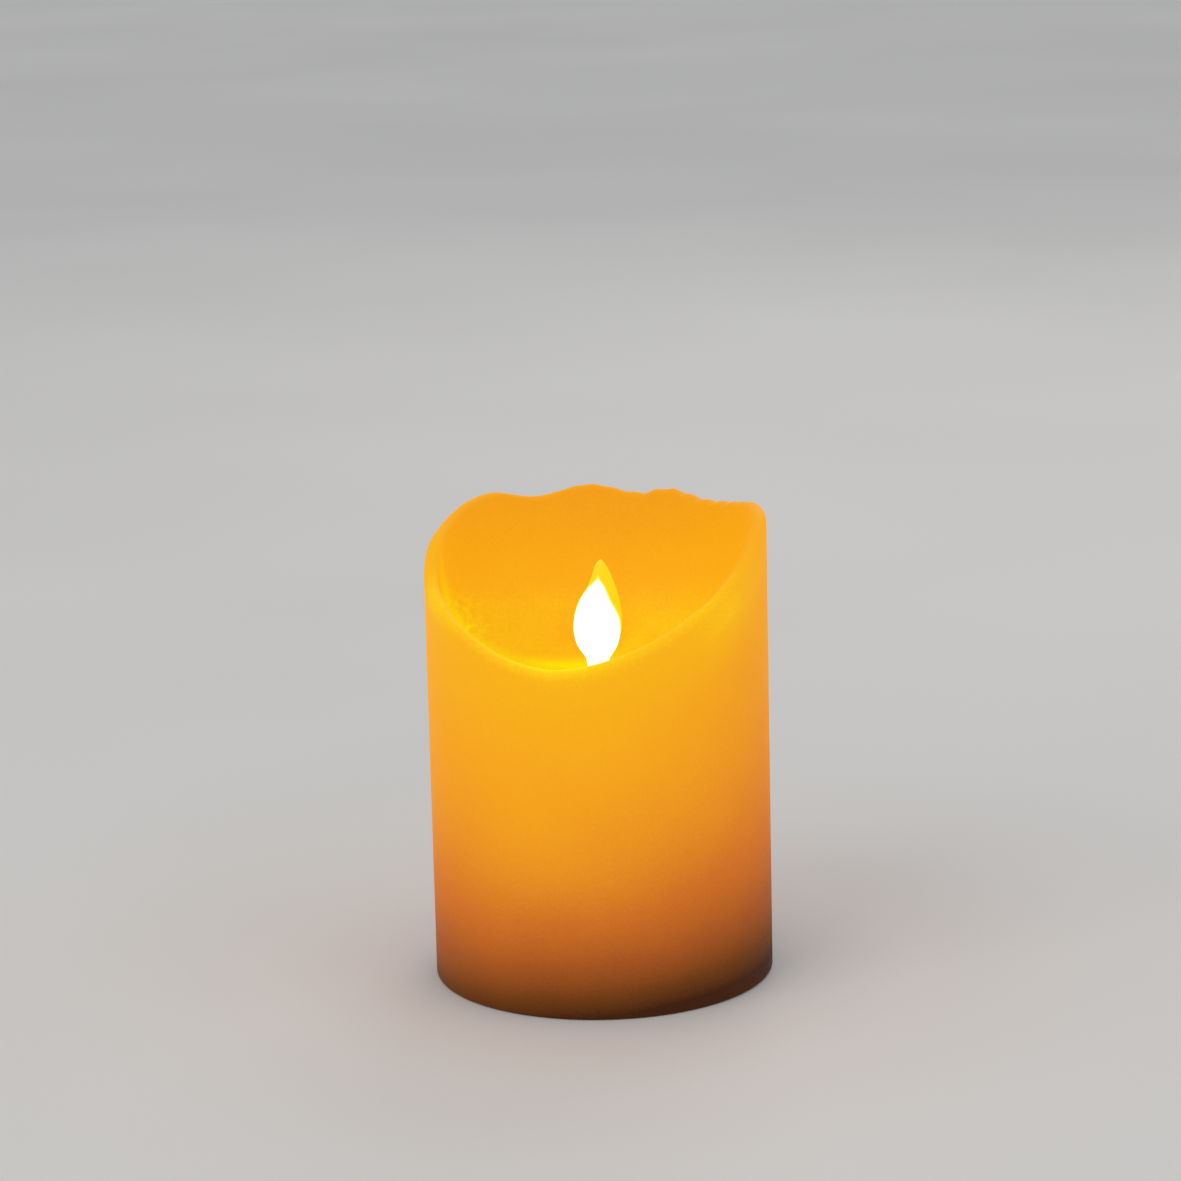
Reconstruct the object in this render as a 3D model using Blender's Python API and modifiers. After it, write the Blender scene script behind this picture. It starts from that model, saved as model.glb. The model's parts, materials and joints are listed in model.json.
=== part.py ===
"""A flameless LED pillar candle with a swinging flame, built as separate solids.

Run it with: blender --background --python part.py
Metres, +Z up. The origin is the centre of the wax foot, on the table. The low side of the rim faces -Y.
"""

import math

import bmesh
import bpy
from mathutils import Matrix, Vector

MM = 0.001
GAP = 0.3 * MM  # between pieces that touch on the real candle

# Wax body
CANDLE_RADIUS = 37.5 * MM
CAVITY_RADIUS = 32.0 * MM
ROOF_UNDERSIDE = 61.0 * MM
DISH_FLOOR = 65.2 * MM
CREST_INSET = 1.7 * MM  # the rim's crest, in from the outer wall
DISH_MOUTH_RADIUS = 34.4 * MM
DISH_EXPONENT = 2.8  # 2 is a round bowl, more is a boxier one
RIM_SEGMENTS = 72

# Rim: a slanted melt line, capped by a wavy far edge
LIP_LOW = 76.7 * MM
LIP_LOW_AZIMUTH = math.radians(-106)
LIP_RISE = 42.0 * MM
LIP_POWER = 0.85
RIM_BLEND = 2.0 * MM
# Azimuth in degrees and height in mm of each crest and dip of the wavy edge
RIM_WAVES = (
    (2, 103.6), (45, 100.7), (62, 102.3), (73, 100.9), (91, 102.7), (111, 100.7), (131, 102.9), (168, 98.6),
)
# The left shoulder, where more wax has melted off the slanted line
SHOULDER_DIP = 2.2 * MM
SHOULDER_AZIMUTH = 186
SHOULDER_SPREAD = 14

# Flame opening
WAX_HOLE_RADIUS = 9.9 * MM
COUNTERBORE_RADIUS = 11.4 * MM
COUNTERBORE_FLOOR = 64.0 * MM
NECK_RADIUS = 8.8 * MM
NECK_BORE = 7.6 * MM
NECK_TOP = 64.0 * MM

# Battery tray
TRAY_RADIUS = CAVITY_RADIUS - GAP
TRAY_WALL = 1.6 * MM
TRAY_BOTTOM = 1.0 * MM  # recessed, so that the wax foot carries the candle
TRAY_TOP = 18.0 * MM
PLATE_THICKNESS = 2.6 * MM
SIDE_WALL_Y = 15.4 * MM
SIDE_WALL_THICKNESS = 1.2 * MM
DOOR_REBATE = 1.5 * MM
DOOR_RADIUS = 29.9 * MM
DOOR_HALF_WIDTH = 15.9 * MM
DOOR_THICKNESS = 1.2 * MM
DOOR_HOLE_HALF_WIDTH = 14.6 * MM
HINGE_X = -27.3 * MM
HINGE_Z = 2.2 * MM
HINGE_PIN_RADIUS = 0.5 * MM
HINGE_HALF_LENGTH = 8.0 * MM
END_WALL_X = 27.2 * MM
END_WALL_FOOT = 4.0 * MM
BASE_SCREWS = ((0.0, -23.6 * MM), (-15.5 * MM, 22.0 * MM), (15.5 * MM, 22.0 * MM))

# AA cells
CELL_RADIUS = 7.1 * MM
CELL_LENGTH = 50.0 * MM
CELL_Y = 7.3 * MM
CELL_Z = 10.5 * MM
CELL_END_X = 26.2 * MM  # tip of the positive nub, from the middle

# Slide switch
SWITCH_Y = 22.8 * MM
SWITCH_TRAVEL = 4.0 * MM
KNOB_X = -SWITCH_TRAVEL / 2  # the knob rests at ON

# Deck, board and flame module
DECK_RADIUS = 31.4 * MM
DECK_BOTTOM = TRAY_TOP + GAP
DECK_TOP = 19.9 * MM
BOARD_BOTTOM = 22.0 * MM
BOARD_TOP = 23.2 * MM
BOARD_HALF = (22.0 * MM, 15.0 * MM)
HOUSING_BOTTOM = BOARD_TOP + GAP
HOUSING_TOP = 60.6 * MM
HOUSING_HALF = (12.4 * MM, 10.4 * MM)
HOUSING_WALL = 1.25 * MM
SPLIT_GAP = 0.15 * MM
MODULE_SCREWS = ((-17.5 * MM, -6.0 * MM), (17.5 * MM, 6.0 * MM))
CLAMP_SCREW_X = 15.0 * MM
CLAMP_SCREW_Z = 41.0 * MM

# Flame
PIVOT_Z = 57.0 * MM
PIVOT_WIRE_RADIUS = 0.35 * MM
FLAME_NECK_Z = 69.5 * MM
# The leaf's outline in mm: X and Z of each knot, then its handles before and after, relative to it
LEAF_KNOTS = (
    ((2.5, 69.5), (-2.5, 0.0), (0.3, 1.9)),
    ((5.45, 79.3), (0.0, -4.4), (0.0, 4.0)),
    ((1.2, 92.8), (0.9, 0.0), (-0.9, 0.0)),
    ((-1.35, 87.7), (0.65, 1.7), (-0.9, -2.3)),
    ((-5.05, 77.5), (0.0, 3.8), (0.0, -3.4)),
    ((-2.4, 69.5), (-0.3, 1.9), (2.4, 0.0)),
)
LEAF_HALF_THICKNESS = 0.7 * MM
LEAF_EDGE = 0.35 * MM
STEM_FOOT_Z = 39.4 * MM
MAGNET_RADIUS = 3.0 * MM
MAGNET_BOTTOM = 35.0 * MM
MAGNET_HEIGHT = 3.2 * MM
LED_TILT = math.radians(10)


def clear_scene():
    for obj in list(bpy.data.objects):
        bpy.data.objects.remove(obj)


def collection(name):
    made = bpy.data.collections.new(name)
    bpy.context.scene.collection.children.link(made)
    return made


def material(name, colour, roughness, metallic=0.0):
    made = bpy.data.materials.new(name)
    made.use_nodes = True
    shader = made.node_tree.nodes["Principled BSDF"]
    shader.inputs["Base Color"].default_value = (*colour, 1.0)
    shader.inputs["Roughness"].default_value = roughness
    shader.inputs["Metallic"].default_value = metallic
    return made


clear_scene()
PARTS = collection("led_candle")
CUTTERS = collection("cutters")

WAX = material("wax", (0.95, 0.62, 0.16), 0.45)
IVORY_PLASTIC = material("ivory_plastic", (0.86, 0.80, 0.66), 0.45)
WHITE_PLASTIC = material("white_plastic", (0.88, 0.88, 0.84), 0.5)
BLACK_PLASTIC = material("black_plastic", (0.03, 0.03, 0.03), 0.4)
FLAME_PLASTIC = material("flame_plastic", (1.0, 0.88, 0.45), 0.4)
EPOXY = material("led_epoxy", (1.0, 0.85, 0.55), 0.15)
STEEL = material("steel", (0.7, 0.7, 0.72), 0.3, 1.0)
NICKEL = material("nickel", (0.78, 0.76, 0.72), 0.25, 1.0)
COPPER = material("copper", (0.72, 0.35, 0.16), 0.35, 1.0)
BOARD_GREEN = material("board_green", (0.03, 0.22, 0.09), 0.4)
CELL_JACKET = material("cell_jacket", (0.12, 0.28, 0.20), 0.3, 0.3)
RED_PVC = material("red_wire", (0.65, 0.03, 0.02), 0.4)
BLACK_PVC = material("black_wire", (0.02, 0.02, 0.02), 0.4)


# ---------------------------------------------------------------- building tools


def add_mesh(name, mesh, finish, helper=False):
    """An object for this mesh, as a part or, for a helper, as a hidden cutter."""
    obj = bpy.data.objects.new(name, mesh)
    if helper:
        CUTTERS.objects.link(obj)
        obj.hide_render = True
        obj.display_type = "WIRE"
    else:
        PARTS.objects.link(obj)
        mesh.materials.append(finish)
    return obj


def mesh_from(name, shape, sharp_degrees=35):
    mesh = bpy.data.meshes.new(name)
    shape.to_mesh(mesh)
    shape.free()
    mesh.shade_smooth()
    mesh.set_sharp_from_angle(angle=math.radians(sharp_degrees))
    return mesh


def block(name, low, high, finish=None, helper=False):
    """A box between two corners."""
    shape = bmesh.new()
    size = Vector(high) - Vector(low)
    bmesh.ops.create_cube(shape, size=1.0)
    bmesh.ops.scale(shape, vec=size, verts=shape.verts)
    bmesh.ops.translate(shape, vec=(Vector(high) + Vector(low)) / 2, verts=shape.verts)
    return add_mesh(name, mesh_from(name, shape), finish, helper)


def rod(name, radius, start, end, finish=None, helper=False, segments=24, end_radius=None):
    """A cylinder or cone from start to end."""
    shape = bmesh.new()
    start, end = Vector(start), Vector(end)
    along = end - start
    top = radius if end_radius is None else end_radius
    bmesh.ops.create_cone(
        shape, cap_ends=True, segments=segments, radius1=radius, radius2=top, depth=along.length
    )
    turn = Vector((0, 0, 1)).rotation_difference(along).to_matrix().to_4x4()
    bmesh.ops.transform(shape, matrix=Matrix.Translation((start + end) / 2) @ turn, verts=shape.verts)
    return add_mesh(name, mesh_from(name, shape), finish, helper)


def turned(name, profile, finish=None, helper=False, segments=32, closed=False):
    """A profile of (radius, height) points, from the top down its outer side, turned about Z."""
    mesh = bpy.data.meshes.new(name)
    count = len(profile)
    edges = [(i, i + 1) for i in range(count - 1)]
    if closed:
        edges.append((count - 1, 0))
    mesh.from_pydata([(r, 0, z) for r, z in profile], edges, [])
    obj = add_mesh(name, mesh, finish, helper)
    screw = obj.modifiers.new("turn", "SCREW")
    screw.axis = "Z"
    screw.angle = math.tau
    screw.steps = segments
    screw.render_steps = segments
    screw.use_merge_vertices = True
    screw.merge_threshold = 0.01 * MM
    screw.use_smooth_shade = False
    return obj


def tube(name, points, radius, finish, cyclic=False):
    """A wire through these points, as a curve with round section and filled ends."""
    curve = bpy.data.curves.new(name, "CURVE")
    curve.dimensions = "3D"
    curve.bevel_depth = radius
    curve.bevel_resolution = 2
    curve.use_fill_caps = not cyclic
    spline = curve.splines.new("POLY")
    spline.points.add(len(points) - 1)
    for target, point in zip(spline.points, points):
        target.co = (*point, 1.0)
    spline.use_cyclic_u = cyclic
    obj = bpy.data.objects.new(name, curve)
    curve.materials.append(finish)
    PARTS.objects.link(obj)
    return obj


def combine(obj, operation, *others):
    """Adds one Boolean modifier for each other object."""
    for other in others:
        modifier = obj.modifiers.new(operation.lower() + "_" + other.name, "BOOLEAN")
        modifier.operation = operation
        modifier.solver = "EXACT"
        modifier.object = other
    return obj


def cut(obj, *others):
    return combine(obj, "DIFFERENCE", *others)


def join(obj, *others):
    return combine(obj, "UNION", *others)


def anchor(name, location):
    """An empty on a joint's axis, for the pieces that move about it."""
    empty = bpy.data.objects.new(name, None)
    empty.location = location
    PARTS.objects.link(empty)
    return empty


def attach(piece, empty):
    """Parents a piece, whose mesh is in the candle's frame, to an empty on its joint's axis."""
    piece.data.transform(Matrix.Translation(-Vector(empty.location)))
    piece.parent = empty


def smooth_route(points, per_span=3):
    """Points on a Catmull-Rom curve through a wire's own route points."""
    ends = [Vector(p) for p in (points[0], *points, points[-1])]
    route = []
    for before, start, end, after in zip(ends, ends[1:], ends[2:], ends[3:]):
        for step in range(per_span):
            t = step / per_span
            route.append(
                0.5 * (2 * start + (end - before) * t + (2 * before - 5 * start + 4 * end - after) * t * t
                       + (3 * start - 3 * end + after - before) * t**3)
            )
    return route + [ends[-1]]


# ---------------------------------------------------------------- wax body


def wave_height(azimuth):
    """Height of the wavy far edge, easing from each crest to the next dip."""
    degrees = math.degrees(azimuth) % 360
    stops = [*RIM_WAVES, (RIM_WAVES[0][0] + 360, RIM_WAVES[0][1])]
    if degrees < stops[0][0]:
        degrees += 360
    for (start, low), (end, high) in zip(stops, stops[1:]):
        if start <= degrees <= end:
            share = (1 - math.cos(math.pi * (degrees - start) / (end - start))) / 2
            return (low + (high - low) * share) * MM
    return stops[0][1] * MM


def rim_height(azimuth):
    """Height of the crest: the melt line, eased under the wavy edge."""
    swing = (1 - math.cos(azimuth - LIP_LOW_AZIMUTH)) / 2
    lip = LIP_LOW + LIP_RISE * swing**LIP_POWER
    edge = wave_height(azimuth)
    aside = (math.degrees(azimuth) % 360 - SHOULDER_AZIMUTH) / SHOULDER_SPREAD
    eased = min(lip, edge) - RIM_BLEND * math.log(1 + math.exp(-abs(lip - edge) / RIM_BLEND))
    return eased - SHOULDER_DIP * math.exp(-(aside**2))


def dish_fall(radius):
    """How far down the bowl this radius lies, from 0 at its mouth to 1 at its floor."""
    def fall(r):
        return (1 - (r / DISH_MOUTH_RADIUS) ** DISH_EXPONENT) ** (1 / DISH_EXPONENT)
    return fall(radius) / fall(COUNTERBORE_RADIUS)


def shell_profile():
    """(radius, height, share of the rim's rise) down the outside, over the foot and up the inside."""
    crest = CANDLE_RADIUS - CREST_INSET
    nominal = LIP_LOW
    points = []
    for share in (1, 0.95, 0.84, 0.68, 0.47, 0.25, 0.09, 0):
        radius = COUNTERBORE_RADIUS + (DISH_MOUTH_RADIUS - COUNTERBORE_RADIUS) * (1 - share)
        down = dish_fall(radius)
        mouth = nominal - 1.1 * MM
        points.append((radius, mouth - (mouth - DISH_FLOOR) * down, 1 - down))
    points += [
        (crest - 0.9 * MM, nominal - 0.3 * MM, 1),
        (crest, nominal, 1),
        (crest + 0.9 * MM, nominal - 0.35 * MM, 1),
        (CANDLE_RADIUS - 0.25 * MM, nominal - 1.1 * MM, 1),
        (CANDLE_RADIUS, nominal - 2.2 * MM, 1),
        (CANDLE_RADIUS, 0.8 * MM, 0),
        (CANDLE_RADIUS - 0.8 * MM, 0, 0),
        (CAVITY_RADIUS, 0, 0),
        (CAVITY_RADIUS, ROOF_UNDERSIDE - 2 * MM, 0),
        (CAVITY_RADIUS - 2 * MM, ROOF_UNDERSIDE, 0),
        (WAX_HOLE_RADIUS, ROOF_UNDERSIDE, 0),
        (WAX_HOLE_RADIUS, COUNTERBORE_FLOOR, 0),
        (COUNTERBORE_RADIUS, COUNTERBORE_FLOOR, 0),
    ]
    return points


def wax_shell():
    """The hollow wax pillar: a turned profile whose crest and bowl rise with the rim."""
    shape = bmesh.new()
    rise = shape.verts.layers.float.new("rise")
    ring = []
    for radius, height, share in shell_profile():
        vert = shape.verts.new((radius, 0, height))
        vert[rise] = share
        ring.append(vert)
    edges = [shape.edges.new(pair) for pair in zip(ring, [*ring[1:], ring[0]])]
    bmesh.ops.spin(
        shape, geom=[*ring, *edges], cent=(0, 0, 0), axis=(0, 0, 1),
        angle=math.tau, steps=RIM_SEGMENTS, use_merge=True, use_duplicate=False,
    )
    bmesh.ops.recalc_face_normals(shape, faces=shape.faces)
    for vert in shape.verts:
        azimuth = math.atan2(vert.co.y, vert.co.x)
        vert.co.z += vert[rise] * (rim_height(azimuth) - LIP_LOW)
    return add_mesh("wax_shell", mesh_from("wax_shell", shape), WAX)


# ---------------------------------------------------------------- base


def door_outline(name, radius, spread, low, high):
    """A helper slab in the door's outline, spread outwards by a margin: a round free end and a hinge tab."""
    slab = rod(name, radius, (0, 0, low), (0, 0, high), helper=True, segments=48)
    half = DOOR_HALF_WIDTH + spread
    shoulder = HINGE_X + 2.8 * MM - spread
    limits = block(name + "_limits", (shoulder, -half, low - MM), (2 * radius, half, high + MM),
        helper=True)
    tab = block(
        name + "_tab", (HINGE_X - 0.7 * MM - 3 * spread, -HINGE_HALF_LENGTH - spread, low),
        (shoulder + MM, HINGE_HALF_LENGTH + spread, high), helper=True,
    )
    combine(slab, "INTERSECT", limits)
    return join(slab, tab)


def base_tray():
    """The round base moulding: bottom plate, outer wall, battery box walls and screw bosses."""
    inner = TRAY_RADIUS - TRAY_WALL
    floor = TRAY_BOTTOM + PLATE_THICKNESS
    tray = turned(
        "base_tray",
        [(0, floor), (inner, floor), (inner, TRAY_TOP), (TRAY_RADIUS, TRAY_TOP),
         (TRAY_RADIUS, TRAY_BOTTOM + 0.5 * MM), (TRAY_RADIUS - 0.5 * MM, TRAY_BOTTOM), (0, TRAY_BOTTOM)],
        IVORY_PLASTIC, segments=48,
    )
    for side in (-1, 1):
        near = side * SIDE_WALL_Y
        far = side * (SIDE_WALL_Y + SIDE_WALL_THICKNESS)
        wall = block(
            f"tray_wall_{side}", (-26 * MM, min(near, far), floor - MM),
                (26 * MM, max(near, far), TRAY_TOP - 0.2 * MM),
            helper=True,
        )
        join(tray, wall)
    join(
        tray,
        block("tray_end_right", (END_WALL_X, -12.4 * MM, END_WALL_FOOT),
            (END_WALL_X + MM, 12.4 * MM, TRAY_TOP - 2 * MM),
              helper=True),
        block("tray_end_left", (-END_WALL_X - MM, -12.4 * MM, END_WALL_FOOT),
            (-END_WALL_X, 12.4 * MM, 12 * MM), helper=True),
    )
    for index, (x, y) in enumerate(BASE_SCREWS):
        join(tray, rod(f"tray_boss_{index}", 3.0 * MM, (x, y, floor - MM), (x, y, 12.6 * MM), helper=True,
            segments=20))
    socket_end = HINGE_HALF_LENGTH + 2.7 * MM
    cut(
        tray,
        door_outline("door_rebate", DOOR_RADIUS + GAP, GAP, 0, TRAY_BOTTOM + DOOR_REBATE),
        block("door_hole_side", (HINGE_X + 2.5 * MM, -DOOR_HOLE_HALF_WIDTH, 0),
            (24.8 * MM, DOOR_HOLE_HALF_WIDTH, floor + 0.2 * MM),
              helper=True),
        block("door_hole_end", (HINGE_X - 1.6 * MM, -HINGE_HALF_LENGTH - GAP, 0),
            (29.2 * MM, HINGE_HALF_LENGTH + GAP, floor + 0.2 * MM),
              helper=True),
        rod("hinge_socket", HINGE_PIN_RADIUS + GAP, (HINGE_X, -socket_end, HINGE_Z),
            (HINGE_X, socket_end, HINGE_Z),
            helper=True, segments=16),
    )
    for side in (-1, 1):
        cut(tray, rod(f"cell_cradle_{side}", CELL_RADIUS + GAP, (-26.4 * MM, side * CELL_Y, CELL_Z),
            (26.4 * MM, side * CELL_Y, CELL_Z),
                      helper=True, segments=32))
    for index, (x, y) in enumerate(BASE_SCREWS):
        cut(
            tray,
            rod(f"boss_bore_{index}", 1.35 * MM, (x, y, 0), (x, y, 14 * MM), helper=True, segments=16),
            rod(f"boss_recess_{index}", 2.55 * MM, (x, y, 0), (x, y, 4.2 * MM), helper=True, segments=20),
        )
    half_slot = (SWITCH_TRAVEL / 2 + 2.3 * MM, 1.9 * MM)
    cut(
        tray,
        block("switch_slot", (-half_slot[0], SWITCH_Y - half_slot[1], 0),
              (half_slot[0], SWITCH_Y + half_slot[1], 5 * MM), helper=True),
        block("wire_notch", (-25 * MM, SIDE_WALL_Y - MM, 14 * MM),
            (-15 * MM, SIDE_WALL_Y + 3 * MM, 20 * MM), helper=True),
    )
    return tray


def battery_door():
    """The door over the battery box: a rounded free end with a finger latch, and a barrel with pins."""
    under, over = TRAY_BOTTOM, TRAY_BOTTOM + DOOR_THICKNESS
    pin_end = HINGE_HALF_LENGTH + 2.4 * MM
    door = door_outline("battery_door", DOOR_RADIUS, 0, under, over)
    CUTTERS.objects.unlink(door)
    PARTS.objects.link(door)
    door.hide_render = False
    door.display_type = "TEXTURED"
    door.data.materials.append(IVORY_PLASTIC)
    join(
        door,
        rod("door_barrel", 0.9 * MM, (HINGE_X, -HINGE_HALF_LENGTH, HINGE_Z),
            (HINGE_X, HINGE_HALF_LENGTH, HINGE_Z),
            helper=True, segments=16),
        rod("door_pins", HINGE_PIN_RADIUS, (HINGE_X, -pin_end, HINGE_Z), (HINGE_X, pin_end, HINGE_Z),
            helper=True, segments=12),
        block("latch_tongue", (28.5 * MM, -3.4 * MM, over - 0.6 * MM),
            (29.0 * MM, 3.4 * MM, over + 2.0 * MM), helper=True),
    )
    for side in (-1, 1):
        rib_y = side * 4.5 * MM
        slot_y = side * 5.6 * MM
        join(door, block(f"door_rib_{side}", (-18 * MM, rib_y - 0.5 * MM, under + 0.5 * MM),
                         (18 * MM, rib_y + 0.5 * MM, over + 0.85 * MM), helper=True))
        cut(door, block(f"latch_slot_{side}", (20.5 * MM, slot_y - 0.4 * MM, 0),
            (32 * MM, slot_y + 0.4 * MM, 5 * MM), helper=True))
    for groove in range(3):
        x = (21.5 + 2 * groove) * MM
        cut(door, block(f"finger_groove_{groove}", (x, -3.6 * MM, 0), (x + 0.8 * MM, 3.6 * MM,
            under + 0.45 * MM), helper=True))
    hinge = anchor("door_hinge", (HINGE_X, 0, HINGE_Z))
    for piece in (door, *(modifier.object for modifier in door.modifiers)):
        attach(piece, hinge)


def battery_cell(name, y, facing):
    """One AA cell on its side, its positive nub towards facing, -1 or 1 along X."""
    body = CELL_LENGTH - 1.2 * MM
    cell = turned(
        name,
        [(0, CELL_LENGTH), (2.6 * MM, CELL_LENGTH), (2.7 * MM, body), (CELL_RADIUS - 0.5 * MM, body),
         (CELL_RADIUS, body - 0.5 * MM), (CELL_RADIUS, 0.5 * MM), (CELL_RADIUS - 0.5 * MM, 0), (0, 0)],
        CELL_JACKET, segments=20,
    )
    cell.rotation_euler = (0, facing * math.pi / 2, 0)
    cell.location = (facing * (CELL_END_X - CELL_LENGTH), y, CELL_Z)
    return cell


def contact_spring(name, y, facing):
    """The conical spring at a cell's negative end. It narrows towards the cell."""
    turns, steps = 3, 10
    start, end = 24.35 * MM, 26.0 * MM
    points = []
    for step in range(turns * steps + 1):
        share = step / (turns * steps)
        angle = math.tau * turns * share
        radius = (1.7 + 1.7 * share) * MM
        points.append((facing * (start + (end - start) * share), y + radius * math.cos(angle),
                       CELL_Z + radius * math.sin(angle)))
    return tube(name, points, 0.25 * MM, STEEL)


def contacts():
    """The springs, the end terminals and the bridge that puts the two cells in series."""
    low, high = CELL_Z - 4.5 * MM, CELL_Z + 4.5 * MM
    plate_x, thick = 26.5 * MM, 0.4 * MM
    block("bridge_contact", (plate_x, -CELL_Y - 4.2 * MM, low), (plate_x + thick, CELL_Y + 4.2 * MM, high),
        NICKEL)
    for name, y in (("positive_terminal", -CELL_Y), ("negative_terminal", CELL_Y)):
        plate = block(name, (-plate_x - thick, y - 4.2 * MM, low), (-plate_x, y + 4.2 * MM, high), NICKEL)
        tab = block(name + "_tab", (-plate_x - thick, y - 1.2 * MM, high - MM),
            (-plate_x, y + 1.2 * MM, high + 1.6 * MM),
                    helper=True)
        join(plate, tab)
    contact_spring("bridge_spring", -CELL_Y, 1)
    contact_spring("negative_spring", CELL_Y, -1)


def screw(name, head, tip, head_radius=2.2 * MM, head_height=1.4 * MM, shank_radius=1.0 * MM):
    """A pan-head screw with a cross recess, from the top of its head to its tip."""
    head, tip = Vector(head), Vector(tip)
    length = (tip - head).length
    neck = -head_height
    body = turned(
        name,
        [(0, 0), (head_radius - 0.6 * MM, 0), (head_radius, -0.5 * MM), (head_radius, neck),
            (shank_radius, neck),
         (shank_radius, MM - length), (0.2 * MM, -length), (0, -length)],
        STEEL, segments=16,
    )
    for turn, size in enumerate(((1.2, 0.28), (0.28, 1.2))):
        arm = block(f"{name}_recess_{turn}", (-size[0] * MM, -size[1] * MM, -0.7 * MM),
                    (size[0] * MM, size[1] * MM, MM), helper=True)
        cut(body, arm)
        arm.parent = body
    body.rotation_mode = "QUATERNION"
    body.rotation_quaternion = Vector((0, 0, -1)).rotation_difference(tip - head)
    body.location = head
    return body


def switch():
    """The slide switch on the tray's floor, and its knob in the slot below."""
    top = TRAY_BOTTOM + PLATE_THICKNESS
    can = block("switch_body", (-6 * MM, SWITCH_Y - 2.9 * MM, top + GAP),
        (6 * MM, SWITCH_Y + 2.9 * MM, top + 5 * MM), STEEL)
    cut(can, block("switch_mouth", (-4.4 * MM, SWITCH_Y - 1.3 * MM, top - MM),
        (4.4 * MM, SWITCH_Y + 1.3 * MM, top + 2.4 * MM),
                   helper=True))
    knob = block("switch_knob", (KNOB_X - 1.6 * MM, SWITCH_Y - 1.5 * MM, 0.4 * MM),
        (KNOB_X + 1.6 * MM, SWITCH_Y + 1.5 * MM, top - 0.2 * MM),
                 BLACK_PLASTIC)
    bevel = knob.modifiers.new("soften", "BEVEL")
    bevel.width = 0.25 * MM
    bevel.segments = 1
    tongue = block("knob_tongue", (KNOB_X - 1.2 * MM, SWITCH_Y - 0.9 * MM, 2 * MM),
        (KNOB_X + 1.2 * MM, SWITCH_Y + 0.9 * MM, top + 1.8 * MM),
                   helper=True)
    join(knob, tongue)
    rest = anchor("switch_slide", (KNOB_X, SWITCH_Y, TRAY_BOTTOM))
    attach(knob, rest)
    attach(tongue, rest)


# ---------------------------------------------------------------- deck and board


def core_deck():
    """The disc over the battery box, with posts for the base screws and stands for the board."""
    deck = rod("core_deck", DECK_RADIUS, (0, 0, DECK_BOTTOM), (0, 0, DECK_TOP), WHITE_PLASTIC, segments=48)
    for index, (x, y) in enumerate(BASE_SCREWS):
        join(deck, rod(f"deck_post_{index}", 2.8 * MM, (x, y, 12.6 * MM + GAP), (x, y, DECK_TOP - 0.4 * MM),
                       helper=True, segments=20))
        cut(deck, rod(f"deck_pilot_{index}", 1.3 * MM, (x, y, 10 * MM), (x, y, 18.6 * MM), helper=True,
            segments=12))
    for index, (x, y) in enumerate(MODULE_SCREWS):
        join(deck, rod(f"deck_stand_{index}", 2.8 * MM, (x, y, DECK_TOP - 0.4 * MM),
            (x, y, BOARD_BOTTOM - GAP),
                       helper=True, segments=20))
        cut(deck, rod(f"stand_pilot_{index}", 1.3 * MM, (x, y, 18.9 * MM), (x, y, 30 * MM), helper=True,
            segments=12))
    cut(deck,
        rod("supply_hole", 1.5 * MM, (-28.2 * MM, -2.4 * MM, 10 * MM), (-28.2 * MM, -2.4 * MM, 30 * MM),
            helper=True, segments=16),
        rod("switch_hole", 1.5 * MM, (7.5 * MM, 25.5 * MM, 10 * MM), (7.5 * MM, 25.5 * MM, 30 * MM),
            helper=True, segments=16))


def led(name, foot, aim, radius, length):
    """A domed LED from the underside of its flange, pointing along aim."""
    cap = length - radius
    dome = [(radius * math.sin(a), cap + radius * math.cos(a)) for a in (math.pi / 2 * i / 4 for i in range(5))]
    rim = radius * 1.16
    lamp = turned(name, [*dome, (radius, 0.17 * length), (rim, 0.17 * length), (rim, 0), (0, 0)], EPOXY,
        segments=14)
    lamp.rotation_mode = "QUATERNION"
    lamp.rotation_quaternion = Vector((0, 0, 1)).rotation_difference(Vector(aim))
    lamp.location = foot
    return lamp


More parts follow.
